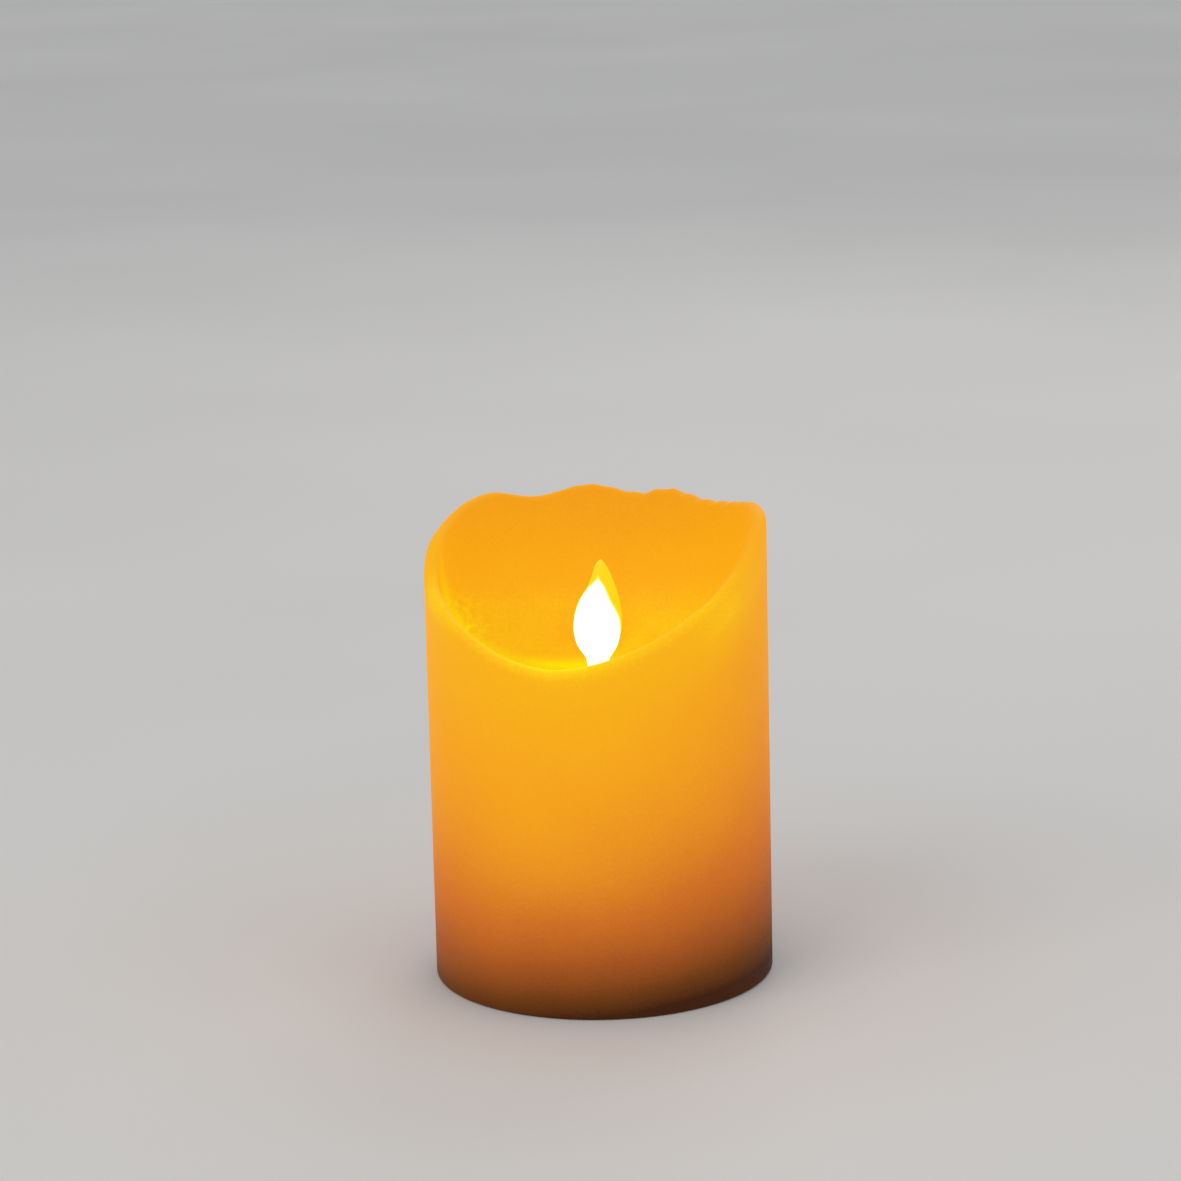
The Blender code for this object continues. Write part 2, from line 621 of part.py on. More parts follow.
def circuit_board():
    """The control board and what is soldered on it."""
    board = block("circuit_board", (-BOARD_HALF[0], -BOARD_HALF[1], BOARD_BOTTOM), (*BOARD_HALF, BOARD_TOP),
        BOARD_GREEN)
    for index, (x, y) in enumerate(MODULE_SCREWS):
        cut(board, rod(f"board_hole_{index}", 1.4 * MM, (x, y, 20 * MM), (x, y, 26 * MM), helper=True,
            segments=16))
    seat = BOARD_TOP + GAP
    block("controller_chip", (-19.8 * MM, 0.2 * MM, seat), (-14.8 * MM, 4.2 * MM, seat + 1.5 * MM),
        BLACK_PLASTIC)
    turned("capacitor", [(0, seat + 8 * MM), (2.2 * MM, seat + 8 * MM), (2.5 * MM, seat + 7.7 * MM),
        (2.5 * MM, seat + 1.6 * MM),
                         (2.3 * MM, seat + 1.3 * MM), (2.5 * MM, seat + MM), (2.5 * MM, seat), (0, seat)],
           BLACK_PLASTIC, segments=16).location = (16.6 * MM, -1.4 * MM, 0)
    rod("timer_crystal", MM, (-9 * MM, 12.9 * MM, seat + MM), (-3 * MM, 12.9 * MM, seat + MM), STEEL,
        segments=16)
    case = rod("drive_transistor", 2.3 * MM, (6 * MM, 12.6 * MM, seat),
        (6 * MM, 12.6 * MM, seat + 4.6 * MM), BLACK_PLASTIC,
               segments=20)
    cut(case, block("transistor_flat", (2 * MM, 9 * MM, seat - MM), (10 * MM, 11.4 * MM, seat + 6 * MM),
        helper=True))
    for name, x in (("flame_led_resistor", -6 * MM), ("body_led_resistor", 6 * MM)):
        middle = seat + MM
        turned(
            name,
            [(0, 4 * MM), (0.3 * MM, 4 * MM), (0.3 * MM, 1.9 * MM), (0.9 * MM, 1.5 * MM),
                (0.75 * MM, 0.9 * MM),
             (0.75 * MM, -0.9 * MM), (0.9 * MM, -1.5 * MM), (0.3 * MM, -1.9 * MM), (0.3 * MM, -4 * MM),
                 (0, -4 * MM)],
            WHITE_PLASTIC, segments=12,
        ).rotation_euler = (0, math.pi / 2, 0)
        bpy.data.objects[name].location = (x, -12.9 * MM, middle)
    for name, x, y in (("body_led_left", -17.4 * MM, 9.4 * MM), ("body_led_right", 17.4 * MM, -9.4 * MM)):
        led(name, (x, y, seat + 2 * MM), (0.25 * math.copysign(1, x), 0.0, 1.0), 1.5 * MM, 5.2 * MM)


# ---------------------------------------------------------------- flame module


def housing_half(name, side):
    """One half of the flame housing, split at Y = 0: shell, half neck, clamp ears, foot and LED shelf."""
    half_x, half_y = HOUSING_HALF

    def between(y_near, y_far):
        return sorted((side * y_near, side * y_far))

    y_low, y_high = between(SPLIT_GAP, half_y)
    shell = block(name, (-half_x, y_low, HOUSING_BOTTOM), (half_x, y_high, HOUSING_TOP), WHITE_PLASTIC)
    helper = {"helper": True}
    y_low, y_high = between(-MM, half_y - HOUSING_WALL)
    cavity = block(name + "_cavity", (-half_x + HOUSING_WALL, y_low, 20 * MM),
                   (half_x - HOUSING_WALL, y_high, HOUSING_TOP - HOUSING_WALL), **helper)
    cut(shell, cavity)
    neck = rod(name + "_neck", NECK_RADIUS, (0, 0, HOUSING_TOP - 0.9 * MM), (0, 0, NECK_TOP), segments=32,
        **helper)
    y_low, y_high = between(SPLIT_GAP, 20 * MM)
    combine(neck, "INTERSECT", block(name + "_neck_side", (-20 * MM, y_low, 50 * MM), (20 * MM, y_high,
        70 * MM), **helper))
    join(shell, neck)
    cut(shell, rod(name + "_bore", NECK_BORE, (0, 0, HOUSING_TOP - 3 * MM), (0, 0, 70 * MM), segments=32,
        **helper))
    for end in (-1, 1):
        x_low, x_high = sorted((end * (half_x - 0.6 * MM), end * (CLAMP_SCREW_X + 2.4 * MM)))
        y_low, y_high = between(SPLIT_GAP, 3.4 * MM)
        ear = block(f"{name}_ear_{end}", (x_low, y_low, CLAMP_SCREW_Z - 2.6 * MM),
            (x_high, y_high, CLAMP_SCREW_Z + 2.6 * MM), **helper)
        join(shell, ear)
        cut(shell, rod(f"{name}_ear_bore_{end}", 1.3 * MM, (end * CLAMP_SCREW_X, -8 * MM, CLAMP_SCREW_Z),
                       (end * CLAMP_SCREW_X, 8 * MM, CLAMP_SCREW_Z), segments=12, **helper))
    x, y = next(place for place in MODULE_SCREWS if place[1] * side > 0)
    foot_top = HOUSING_BOTTOM + 2 * MM
    join(shell, rod(name + "_foot", 3.1 * MM, (x, y, HOUSING_BOTTOM), (x, y, foot_top), segments=20,
        **helper))
    x_low, x_high = sorted((x, math.copysign(half_x - 0.6 * MM, x)))
    join(shell, block(name + "_foot_web", (x_low, y - 2 * MM, HOUSING_BOTTOM + 0.2 * MM),
        (x_high, y + 2 * MM, foot_top - 0.2 * MM), **helper))
    cut(shell, rod(name + "_foot_bore", 1.4 * MM, (x, y, 20 * MM), (x, y, 30 * MM), segments=16, **helper))
    y_low, y_high = between(3.2 * MM, half_y - 0.6 * MM)
    join(shell, block(name + "_shelf", (-4 * MM, y_low, 44.2 * MM), (4 * MM, y_high, 45.6 * MM), **helper))
    cut(shell,
        block(name + "_shelf_slot", (-1.4 * MM, *between(4.6 * MM, 7.4 * MM)[:1], 44 * MM),
              (1.4 * MM, *between(4.6 * MM, 7.4 * MM)[1:], 48 * MM), **helper),
        rod(name + "_wire_seat", PIVOT_WIRE_RADIUS + GAP, (0, side * 8 * MM, PIVOT_Z),
            (0, side * 9.95 * MM, PIVOT_Z), segments=12, **helper))
    return shell


def flame_module():
    """The housing with its collar, pivot wire, coil, LEDs and screws."""
    housing_half("housing_front", -1)
    housing_half("housing_rear", 1)
    flange_top = DISH_FLOOR
    turned(
        "flame_collar",
        [(7.4 * MM, NECK_TOP + GAP), (7.4 * MM, flange_top - 0.2 * MM), (7.6 * MM, flange_top),
            (10.9 * MM, flange_top),
         (11.1 * MM, flange_top - 0.2 * MM), (11.1 * MM, NECK_TOP + GAP), (9.6 * MM, NECK_TOP + GAP),
         (9.6 * MM, ROOF_UNDERSIDE + 0.4 * MM), (9.1 * MM, ROOF_UNDERSIDE + 0.4 * MM),
             (9.1 * MM, NECK_TOP + GAP)],
        IVORY_PLASTIC, segments=32, closed=True,
    )
    rod("pivot_wire", PIVOT_WIRE_RADIUS, (0, -9.7 * MM, PIVOT_Z), (0, 9.7 * MM, PIVOT_Z), STEEL,
        segments=12)
    foot = BOARD_TOP + GAP
    turned(
        "coil_bobbin",
        [(1.6 * MM, foot), (1.6 * MM, foot + 9 * MM), (8 * MM, foot + 9 * MM), (8 * MM, foot + 8.1 * MM),
         (2.8 * MM, foot + 8.1 * MM), (2.8 * MM, foot + 0.9 * MM), (8 * MM, foot + 0.9 * MM),
             (8 * MM, foot)],
        BLACK_PLASTIC, segments=24, closed=True,
    )
    turned(
        "drive_coil",
        [(3.1 * MM, foot + 1.2 * MM), (3.1 * MM, foot + 7.8 * MM), (7.2 * MM, foot + 7.8 * MM),
            (7.5 * MM, foot + 7.4 * MM),
         (7.5 * MM, foot + 1.6 * MM), (7.2 * MM, foot + 1.2 * MM)],
        COPPER, segments=24, closed=True,
    )
    for name, side in (("flame_led_front", -1), ("flame_led_rear", 1)):
        lean = (0.0, -side * math.sin(LED_TILT), math.cos(LED_TILT))
        led(name, (0, side * 6.0 * MM, 46.9 * MM), lean, 2.5 * MM, 8.6 * MM)
        tube(name + "_lead", smooth_route([(0, side * 6.0 * MM, 45.7 * MM), (0, side * 6.1 * MM, 43.4 * MM),
            (1.2 * MM, side * 7.8 * MM, 39.5 * MM),
                                          (2.4 * MM, side * 8.4 * MM, 34 * MM),
                                              (2.4 * MM, side * 8.4 * MM, 29 * MM),
                                                  (2.4 * MM, side * 8.4 * MM, foot + 0.2 * MM)]),
             0.5 * MM, WHITE_PLASTIC)
    for name, end in (("clamp_screw_left", -1), ("clamp_screw_right", 1)):
        screw(name, (end * CLAMP_SCREW_X, -5.1 * MM, CLAMP_SCREW_Z),
            (end * CLAMP_SCREW_X, 3.0 * MM, CLAMP_SCREW_Z), head_height=1.3 * MM)
    for name, (x, y) in zip(("module_screw_left", "module_screw_right"), MODULE_SCREWS):
        screw(name, (x, y, HOUSING_BOTTOM + 2.3 * MM + 1.4 * MM), (x, y, 19.4 * MM))


def flame_leaf():
    """The flame's flat leaf: a teardrop outline, drawn in on the left below its tip, with rounded edges."""
    curve = bpy.data.curves.new("flame", "CURVE")
    curve.dimensions = "2D"
    curve.fill_mode = "BOTH"
    curve.extrude = LEAF_HALF_THICKNESS
    curve.resolution_u = 6
    spline = curve.splines.new("BEZIER")
    spline.bezier_points.add(len(LEAF_KNOTS) - 1)
    for point, (place, before, after) in zip(spline.bezier_points, LEAF_KNOTS):
        point.co = (place[0] * MM, place[1] * MM, 0)
        point.handle_left = ((place[0] + before[0]) * MM, (place[1] + before[1]) * MM, 0)
        point.handle_right = ((place[0] + after[0]) * MM, (place[1] + after[1]) * MM, 0)
    spline.use_cyclic_u = True
    outline = bpy.data.objects.new("leaf_outline", curve)
    PARTS.objects.link(outline)
    mesh = bpy.data.meshes.new_from_object(outline.evaluated_get(bpy.context.evaluated_depsgraph_get()))
    bpy.data.objects.remove(outline)
    shape = bmesh.new()
    shape.from_mesh(mesh)
    bmesh.ops.remove_doubles(shape, verts=shape.verts, dist=0.001 * MM)
    bmesh.ops.rotate(shape, verts=shape.verts, cent=(0, 0, 0), matrix=Matrix.Rotation(math.pi / 2, 3, "X"))
    bmesh.ops.bevel(
        shape, geom=[edge for edge in shape.edges if edge.calc_face_angle(0) > math.radians(60)],
        offset=LEAF_EDGE, segments=2, profile=0.5, affect="EDGES", clamp_overlap=True,
    )
    bmesh.ops.remove_doubles(shape, verts=shape.verts, dist=0.01 * MM)
    return add_mesh("flame", mesh_from("flame", shape, 50), FLAME_PLASTIC)


def flame():
    """The flame: leaf, stem, pivot eye and magnet cup in one moulding, hung on the pivot."""
    leaf = flame_leaf()
    stem = block("flame_stem", (-2.1 * MM, -0.6 * MM, STEM_FOOT_Z),
        (2.1 * MM, 0.6 * MM, FLAME_NECK_Z + 1.5 * MM), helper=True)
    eye = rod("flame_eye", 3.1 * MM, (0, -1.2 * MM, PIVOT_Z), (0, 1.2 * MM, PIVOT_Z), helper=True)
    cup = rod("flame_cup", MAGNET_RADIUS + 0.9 * MM, (0, 0, MAGNET_BOTTOM + 0.4 * MM),
        (0, 0, STEM_FOOT_Z + 0.6 * MM), helper=True)
    pocket = rod("flame_cup_pocket", MAGNET_RADIUS + GAP, (0, 0, 30 * MM),
        (0, 0, MAGNET_BOTTOM + MAGNET_HEIGHT + GAP), helper=True)
    hole = rod("flame_eye_hole", 0.75 * MM, (0, -5 * MM, PIVOT_Z), (0, 5 * MM, PIVOT_Z), helper=True,
        segments=16)
    join(leaf, stem, eye, cup)
    cut(leaf, pocket, hole)
    magnet = rod("flame_magnet", MAGNET_RADIUS, (0, 0, MAGNET_BOTTOM),
        (0, 0, MAGNET_BOTTOM + MAGNET_HEIGHT), NICKEL)
    pivot = anchor("flame_pivot", (0, 0, PIVOT_Z))
    for piece in (leaf, stem, eye, cup, pocket, hole, magnet):
        attach(piece, pivot)


def wires():
    """The insulated wires from the cells to the switch and the board."""
    tube("supply_wire", smooth_route([
        (-27.8 * MM, -7.0 * MM, 14.4 * MM), (-28.2 * MM, -5.2 * MM, 15.6 * MM),
            (-28.3 * MM, -2.8 * MM, 17.4 * MM), (-28.0 * MM, -2.3 * MM, 19.6 * MM),
        (-26.6 * MM, -2.2 * MM, 22.4 * MM), (-24.0 * MM, -1.6 * MM, 24.6 * MM),
            (-21.4 * MM, -1.0 * MM, 24.2 * MM)]), 0.55 * MM, RED_PVC)
    tube("return_wire", smooth_route([
        (-27.8 * MM, 7.0 * MM, 14.4 * MM), (-27.8 * MM, 9.0 * MM, 15.8 * MM),
            (-25.6 * MM, 12.8 * MM, 16.6 * MM), (-20.6 * MM, 15.6 * MM, 16.6 * MM),
        (-13.0 * MM, 18.4 * MM, 14.8 * MM), (-8.8 * MM, 21.0 * MM, 11.6 * MM),
            (-4.4 * MM, 22.8 * MM, 10.2 * MM), (-3.2 * MM, 22.8 * MM, 9.5 * MM)]), 0.55 * MM, BLACK_PVC)
    tube("switch_wire", smooth_route([
        (3.2 * MM, 22.8 * MM, 9.5 * MM), (4.4 * MM, 23.2 * MM, 11.6 * MM), (6.8 * MM, 25.2 * MM, 15.6 * MM),
            (7.5 * MM, 25.5 * MM, 19.4 * MM),
        (8.8 * MM, 23.4 * MM, 23.6 * MM), (10.6 * MM, 18.4 * MM, 25.8 * MM),
            (11.6 * MM, 14.2 * MM, 24.6 * MM), (11.6 * MM, 13.6 * MM, 24.2 * MM)]), 0.55 * MM, RED_PVC)


def build():
    wax_shell()
    base_tray()
    battery_door()
    battery_cell("battery_front", -CELL_Y, -1)
    battery_cell("battery_rear", CELL_Y, 1)
    contacts()
    switch()
    for index, (x, y) in enumerate(BASE_SCREWS, start=1):
        screw(f"base_screw_{index}", (x, y, 2.5 * MM), (x, y, 16.5 * MM))
    core_deck()
    circuit_board()
    flame_module()
    flame()
    wires()


build()
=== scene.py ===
"""The looks of a flameless LED pillar candle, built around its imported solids.

Each sub-assembly is a class that models and dresses the pieces that stand for its solids.
Sizes are in millimetres in the dataclass fields, unless a docstring says otherwise, and become metres in the meshes.
"""

import json
import logging
import math
from collections.abc import Sequence
from dataclasses import dataclass
from enum import Enum

import bpy
from mathutils import Matrix, Vector

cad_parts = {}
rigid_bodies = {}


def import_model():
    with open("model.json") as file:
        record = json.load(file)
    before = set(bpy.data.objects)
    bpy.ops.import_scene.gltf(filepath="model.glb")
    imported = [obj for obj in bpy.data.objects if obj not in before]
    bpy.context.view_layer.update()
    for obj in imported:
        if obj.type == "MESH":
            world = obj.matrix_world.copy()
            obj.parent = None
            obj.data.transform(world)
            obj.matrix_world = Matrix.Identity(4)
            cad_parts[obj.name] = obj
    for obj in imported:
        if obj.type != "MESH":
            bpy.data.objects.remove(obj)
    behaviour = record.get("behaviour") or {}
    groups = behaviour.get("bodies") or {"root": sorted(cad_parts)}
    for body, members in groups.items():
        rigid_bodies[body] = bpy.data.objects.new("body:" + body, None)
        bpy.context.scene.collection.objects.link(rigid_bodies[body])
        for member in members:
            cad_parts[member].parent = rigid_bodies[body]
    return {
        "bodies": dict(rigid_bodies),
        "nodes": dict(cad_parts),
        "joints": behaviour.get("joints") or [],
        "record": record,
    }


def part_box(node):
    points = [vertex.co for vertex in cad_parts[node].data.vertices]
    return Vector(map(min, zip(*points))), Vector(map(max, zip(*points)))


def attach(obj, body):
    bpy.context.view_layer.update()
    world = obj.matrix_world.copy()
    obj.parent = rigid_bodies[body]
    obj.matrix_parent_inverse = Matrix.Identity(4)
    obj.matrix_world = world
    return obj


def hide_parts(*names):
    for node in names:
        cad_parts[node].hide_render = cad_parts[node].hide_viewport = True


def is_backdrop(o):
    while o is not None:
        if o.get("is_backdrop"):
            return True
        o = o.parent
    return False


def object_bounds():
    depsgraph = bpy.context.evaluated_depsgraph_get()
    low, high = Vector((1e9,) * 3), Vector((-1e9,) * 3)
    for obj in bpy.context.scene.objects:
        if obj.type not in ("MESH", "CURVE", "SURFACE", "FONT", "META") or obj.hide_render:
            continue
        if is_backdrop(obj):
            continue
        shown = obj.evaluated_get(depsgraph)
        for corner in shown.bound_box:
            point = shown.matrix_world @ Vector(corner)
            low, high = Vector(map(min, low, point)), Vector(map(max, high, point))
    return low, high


LOG = logging.getLogger("candle")
MM = 0.001
WELD = 0.001 * MM
FLAT_EDGE = 35.0
ROUND_EDGE = 70.0

Point = tuple[float, float, float]
Colour = tuple[float, float, float]
Profile = Sequence[tuple[float, float]]
Outline = tuple[tuple[float, float, float], ...]


class Body(Enum):
    """The rigid bodies that the pieces ride on."""

    CANDLE = "candle"
    FLAME = "flame"
    KNOB = "switch_knob"
    DOOR = "battery_door"


class Slot(Enum):
    """The record's material slots."""

    WAX = "wax"
    IVORY = "ivory_plastic"
    WHITE = "white_plastic"
    BLACK = "black_plastic"
    FLAME = "flame_plastic"
    EPOXY = "led_epoxy"
    STEEL = "steel"
    NICKEL = "nickel"
    COPPER = "copper"
    BOARD = "board_green"
    JACKET = "cell_jacket"
    RED_WIRE = "red_wire"
    BLACK_WIRE = "black_wire"


def srgb(red: int, green: int, blue: int) -> Colour:
    """Turns a display colour from 0 to 255 into linear light.

    Args:
        red: Display red.
        green: Display green.
        blue: Display blue.

    Returns:
        The three linear values.
    """
    def linear(value: int) -> float:
        """Returns one channel in linear light."""
        share = value / 255
        return share / 12.92 if share <= 0.04045 else ((share + 0.055) / 1.055) ** 2.4

    return linear(red), linear(green), linear(blue)


# ------------------------------------------------------------------ shaders


class ShaderBench:
    """Lays out the nodes of one material around its Principled shader."""

    def __init__(self, name: str, roughness: float, metallic: float = 0.0) -> None:
        """Starts a material.

        Args:
            name: The material's name.
            roughness: Its overall roughness.
            metallic: 1 for a bare metal.
        """
        self.material = bpy.data.materials.new(name)
        self.material.use_nodes = True
        self.tree = self.material.node_tree
        self.shader = self.tree.nodes["Principled BSDF"]
        self.constant("Roughness", roughness)
        self.constant("Metallic", metallic)
        self.place = self.node("ShaderNodeTexCoord").outputs["Object"]

    def node(self, kind: str) -> bpy.types.Node:
        """Adds a node of this kind."""
        return self.tree.nodes.new(kind)

    def constant(self, socket: str, value: object) -> None:
        """Sets a value on the shader's own socket."""
        self.shader.inputs[socket].default_value = value

    def link(self, source: object, socket: str) -> None:
        """Feeds an output into the shader."""
        self.tree.links.new(source, self.shader.inputs[socket])

    def feed(self, node: bpy.types.Node, index: int, value: object) -> None:
        """Puts a number, a colour or an output into one of a node's inputs.

        Args:
            node: The node.
            index: Which of its inputs.
            value: What goes in.
        """
        if isinstance(value, bpy.types.NodeSocket):
            self.tree.links.new(value, node.inputs[index])
        else:
            node.inputs[index].default_value = value

    def math(self, operation: str, *values: object) -> object:
        """Adds a Math node.

        Args:
            operation: What it works out.
            values: Its inputs, up to three. The rest are 0.

        Returns:
            Its output.
        """
        node = self.node("ShaderNodeMath")
        node.operation = operation
        for index, value in enumerate((*values, 0.0, 0.0)[:3]):
            self.feed(node, index, value)
        return node.outputs[0]

    def bell(self, source: object, centre: float, spread: float) -> object:
        """Adds nodes for a squared distance from a centre, in spreads.

        Args:
            source: The number that is measured.
            centre: Where the distance is 0.
            spread: Where it is 1.

        Returns:
            The squared distance.
        """
        away = self.math("DIVIDE", self.math("SUBTRACT", source, centre), spread)
        return self.math("MULTIPLY", away, away)

    def axes(self) -> tuple[object, object, object]:
        """Returns the X, Y and Z of Object coordinates."""
        node = self.node("ShaderNodeSeparateXYZ")
        self.tree.links.new(self.place, node.inputs[0])
        return node.outputs[0], node.outputs[1], node.outputs[2]

    def stretched(self, scale: Point) -> object:
        """Adds a Mapping node, for a grain that runs one way.

        Args:
            scale: The pattern's cells to a metre along X, Y and Z.

        Returns:
            Object coordinates, scaled.
        """
        node = self.node("ShaderNodeMapping")
        self.tree.links.new(self.place, node.inputs["Vector"])
        node.inputs["Scale"].default_value = scale
        return node.outputs["Vector"]

    def noise(self, scale: float, detail: float = 3.0, place: object = None) -> object:
        """Adds a noise pattern.

        Args:
            scale: Its cells to a metre.
            detail: How many finer layers it has.
            place: Where it is read, or None for Object coordinates.

        Returns:
            Its factor, about 0.5 on average.
        """
        node = self.node("ShaderNodeTexNoise")
        self.tree.links.new(place or self.place, node.inputs["Vector"])
        node.inputs["Scale"].default_value = scale
        node.inputs["Detail"].default_value = detail
        return node.outputs["Fac"]

    def cells(self, scale: float) -> object:
        """Adds a Voronoi pattern.

        Args:
            scale: Its cells to a metre.

        Returns:
            The distance to the nearest point.
        """
        node = self.node("ShaderNodeTexVoronoi")
        self.tree.links.new(self.place, node.inputs["Vector"])
        node.inputs["Scale"].default_value = scale
        return node.outputs["Distance"]

    def attribute(self, name: str) -> object:
        """Reads a number stored on the mesh's points.

        Args:
            name: The attribute's name.

        Returns:
            The number.
        """
        node = self.node("ShaderNodeAttribute")
        node.attribute_name = name
        return node.outputs["Fac"]

    def ramp(self, factor: object, stops: Sequence[tuple[float, Colour]]) -> object:
        """Adds a colour ramp.

        Args:
            factor: What drives it.
            stops: Place from 0 to 1 and linear colour of each stop.

        Returns:
            The colour output.
        """
        node = self.node("ShaderNodeValToRGB")
        self.tree.links.new(factor, node.inputs[0])
        elements = node.color_ramp.elements
        while len(elements) < len(stops):
            elements.new(1.0)
        for element, (place, colour) in zip(elements, stops):
            element.position = place
            element.color = (*colour, 1.0)
        return node.outputs["Color"]

    def mixed(self, blend: str, factor: object, first: object, second: object) -> object:
        """Mixes two colours.

        Args:
            blend: How they are mixed.
            factor: How much of the second shows.
            first: The colour below.
            second: The colour on top.

        Returns:
            The mixed colour.
        """
        node = self.node("ShaderNodeMix")
        node.data_type = "RGBA"
        node.blend_type = blend
        self.feed(node, 0, factor)
        for index, value in ((6, first), (7, second)):
            self.feed(node, index, (*value, 1.0) if isinstance(value, tuple) else value)
        return node.outputs[2]

    def bump(self, height: object, distance: float, strength: float = 1.0) -> None:
        """Raises the surface by a pattern. A second call adds to the first.

        Args:
            height: The pattern.
            distance: Its full depth, in metres.
            strength: How much of it shows.
        """
        node = self.node("ShaderNodeBump")
        node.inputs["Distance"].default_value = distance
        node.inputs["Strength"].default_value = strength
        self.tree.links.new(height, node.inputs["Height"])
        before = self.shader.inputs["Normal"].links
        if before:
            self.tree.links.new(before[0].from_socket, node.inputs["Normal"])
        self.link(node.outputs["Normal"], "Normal")


@dataclass(frozen=True)
class Finish:
    """A finish: the slot it stands for, and the recipe for its material."""

    name: str
    slot: Slot

    def material(self) -> bpy.types.Material:
        """Returns the finish's material, made on first use."""
        return bpy.data.materials.get(self.name) or self.make()

    def make(self) -> bpy.types.Material:
        """Lays out the material's nodes."""
        raise NotImplementedError


@dataclass(frozen=True)
class GlowingWax(Finish):
    """Amber wax with painted inside light: a painted glow, brightest at the lip, and painted shade where the battery
    tray blocks the light.

    A glow level from 0 to 1 picks the colour. A side of -1 or 1 is the wall's left or right edge. Sizes in metres.

    Attributes:
        glow_share: How much of the colour is given out as the painted glow.
        body_share: How much of it is the base colour, which reflects the room's light and also carries the painted glow
            and shade.
        full_glow: Glow level of the upper wall.
        fade_height: Height over which the light grows, from the foot up.
        fade_power: Shape of that growth.
        shade_height: How high the unlit foot reaches in the middle.
        shade_tilt: How much higher it reaches at the right edge.
        warm_side: The side that is lit the most.
        side_loss: Level lost for each squared step away from that side.
        spot_side: Side of the warm spot in front of the lamps.
        spot_width: Its reach along the wall.
        spot_place: Its height.
        spot_height: Its reach up and down.
        spot_gain: Level gained in its middle.
        crown_foot: Height from which the back of the wall dims again.
        crown_loss: Level lost there for each metre.
        radius: The pillar's radius.
        grain: Strength of the fine grain in the light.
        specks: Strength of the finest specks in the colour.
        bowl_shade: How much darker the bowl's colours are, as painted shade.
    """

    glow_share: float = 0.69
    body_share: float = 0.42
    full_glow: float = 1.074
    fade_height: float = 40.3 * MM
    fade_power: float = 0.892
    shade_height: float = 0.85 * MM
    shade_tilt: float = 3.7 * MM
    warm_side: float = -0.158
    side_loss: float = 0.151
    spot_side: float = -0.35
    spot_width: float = 0.32
    spot_place: float = 37 * MM
    spot_height: float = 11 * MM
    spot_gain: float = 0.045
    crown_foot: float = 70 * MM
    crown_loss: float = 0.006 / MM
    radius: float = 37.5 * MM
    grain: float = 0.09
    specks: float = 0.12
    bowl_shade: float = 0.07

    def stops(self) -> list[tuple[float, Colour]]:
        """Returns the wax's colours from unlit to brightest."""
        return [
            (0.00, srgb(62, 30, 10)),
            (0.14, srgb(110, 58, 16)),
            (0.30, srgb(166, 84, 30)),
            (0.48, srgb(211, 114, 34)),
            (0.62, srgb(234, 143, 31)),
            (0.76, srgb(247, 165, 25)),
            (0.88, srgb(252, 180, 20)),
            (1.00, srgb(255, 232, 0)),
        ]

    def wall(self, bench: ShaderBench) -> object:
        """Lays out the outer wall's glow, with the warm spot in front of the lamps.

        Args:
            bench: The material's bench.

        Returns:
            The glow level.
        """
        across, depth, up = bench.axes()
        side = bench.math("DIVIDE", across, self.radius)
        edge = bench.math("MULTIPLY_ADD", side, self.shade_tilt, self.shade_height)
        lift = bench.math("DIVIDE", bench.math("MAXIMUM", bench.math("SUBTRACT", up, edge)), self.fade_height)
        decay = bench.math("EXPONENT", bench.math("MULTIPLY", bench.math("POWER", lift, self.fade_power), -1.0))
        grown = bench.math("MULTIPLY_ADD", decay, -1.0, 1.0)
        spread = bench.math("MULTIPLY", bench.bell(side, self.warm_side, 1.0), -self.side_loss)
        level = bench.math("MULTIPLY", grown, bench.math("ADD", spread, self.full_glow))
        reach = bench.math(
            "ADD", bench.bell(side, self.spot_side, self.spot_width), bench.bell(up, self.spot_place, self.spot_height)
        )
        spot = bench.math("EXPONENT", bench.math("MULTIPLY", reach, -1.0))
        front = bench.math("LESS_THAN", depth, 0.0)
        level = bench.math("MULTIPLY_ADD", bench.math("MULTIPLY", spot, front), self.spot_gain, level)
        rear = bench.math("MAXIMUM", bench.math("DIVIDE", depth, self.radius))
        crown = bench.math("MAXIMUM", bench.math("SUBTRACT", up, self.crown_foot))
        return bench.math("MULTIPLY_ADD", bench.math("MULTIPLY", crown, rear), -self.crown_loss, level)

    def level(self, bench: ShaderBench) -> object:
        """Lays out the whole piece's glow: wall, bowl, lip, painted streaky highlights, clouds and grain.

        Args:
            bench: The material's bench.

        Returns:
            The glow level.
        """
        level, dish = self.wall(bench), bench.attribute("dish")
        level = bench.math("MULTIPLY_ADD", dish, bench.math("SUBTRACT", bench.attribute("dish_glow"), level), level)
        level = bench.math("ADD", level, bench.attribute("crest_glow"))
        # Painted highlights: a bright streaky band inside the bowl along its mouth.
        highlight_streak = bench.math("SUBTRACT", bench.noise(1.0, 3.0, bench.stretched((420.0, 420.0, 1100.0))), 0.42)
        level = bench.math("MULTIPLY_ADD", bench.math("MULTIPLY", highlight_streak, bench.attribute("highlight_streaks")), 0.2, level)
        cloud = bench.math("SUBTRACT", bench.noise(55, 2.0), 0.5)
        level = bench.math("MULTIPLY_ADD", cloud, 0.05, level)
        bloom = bench.math("MULTIPLY", bench.math("SUBTRACT", bench.noise(1300, 4.0), 0.5), self.grain)
        return bench.math("MULTIPLY_ADD", bloom, bench.math("MULTIPLY_ADD", dish, 0.15, 0.5), level)

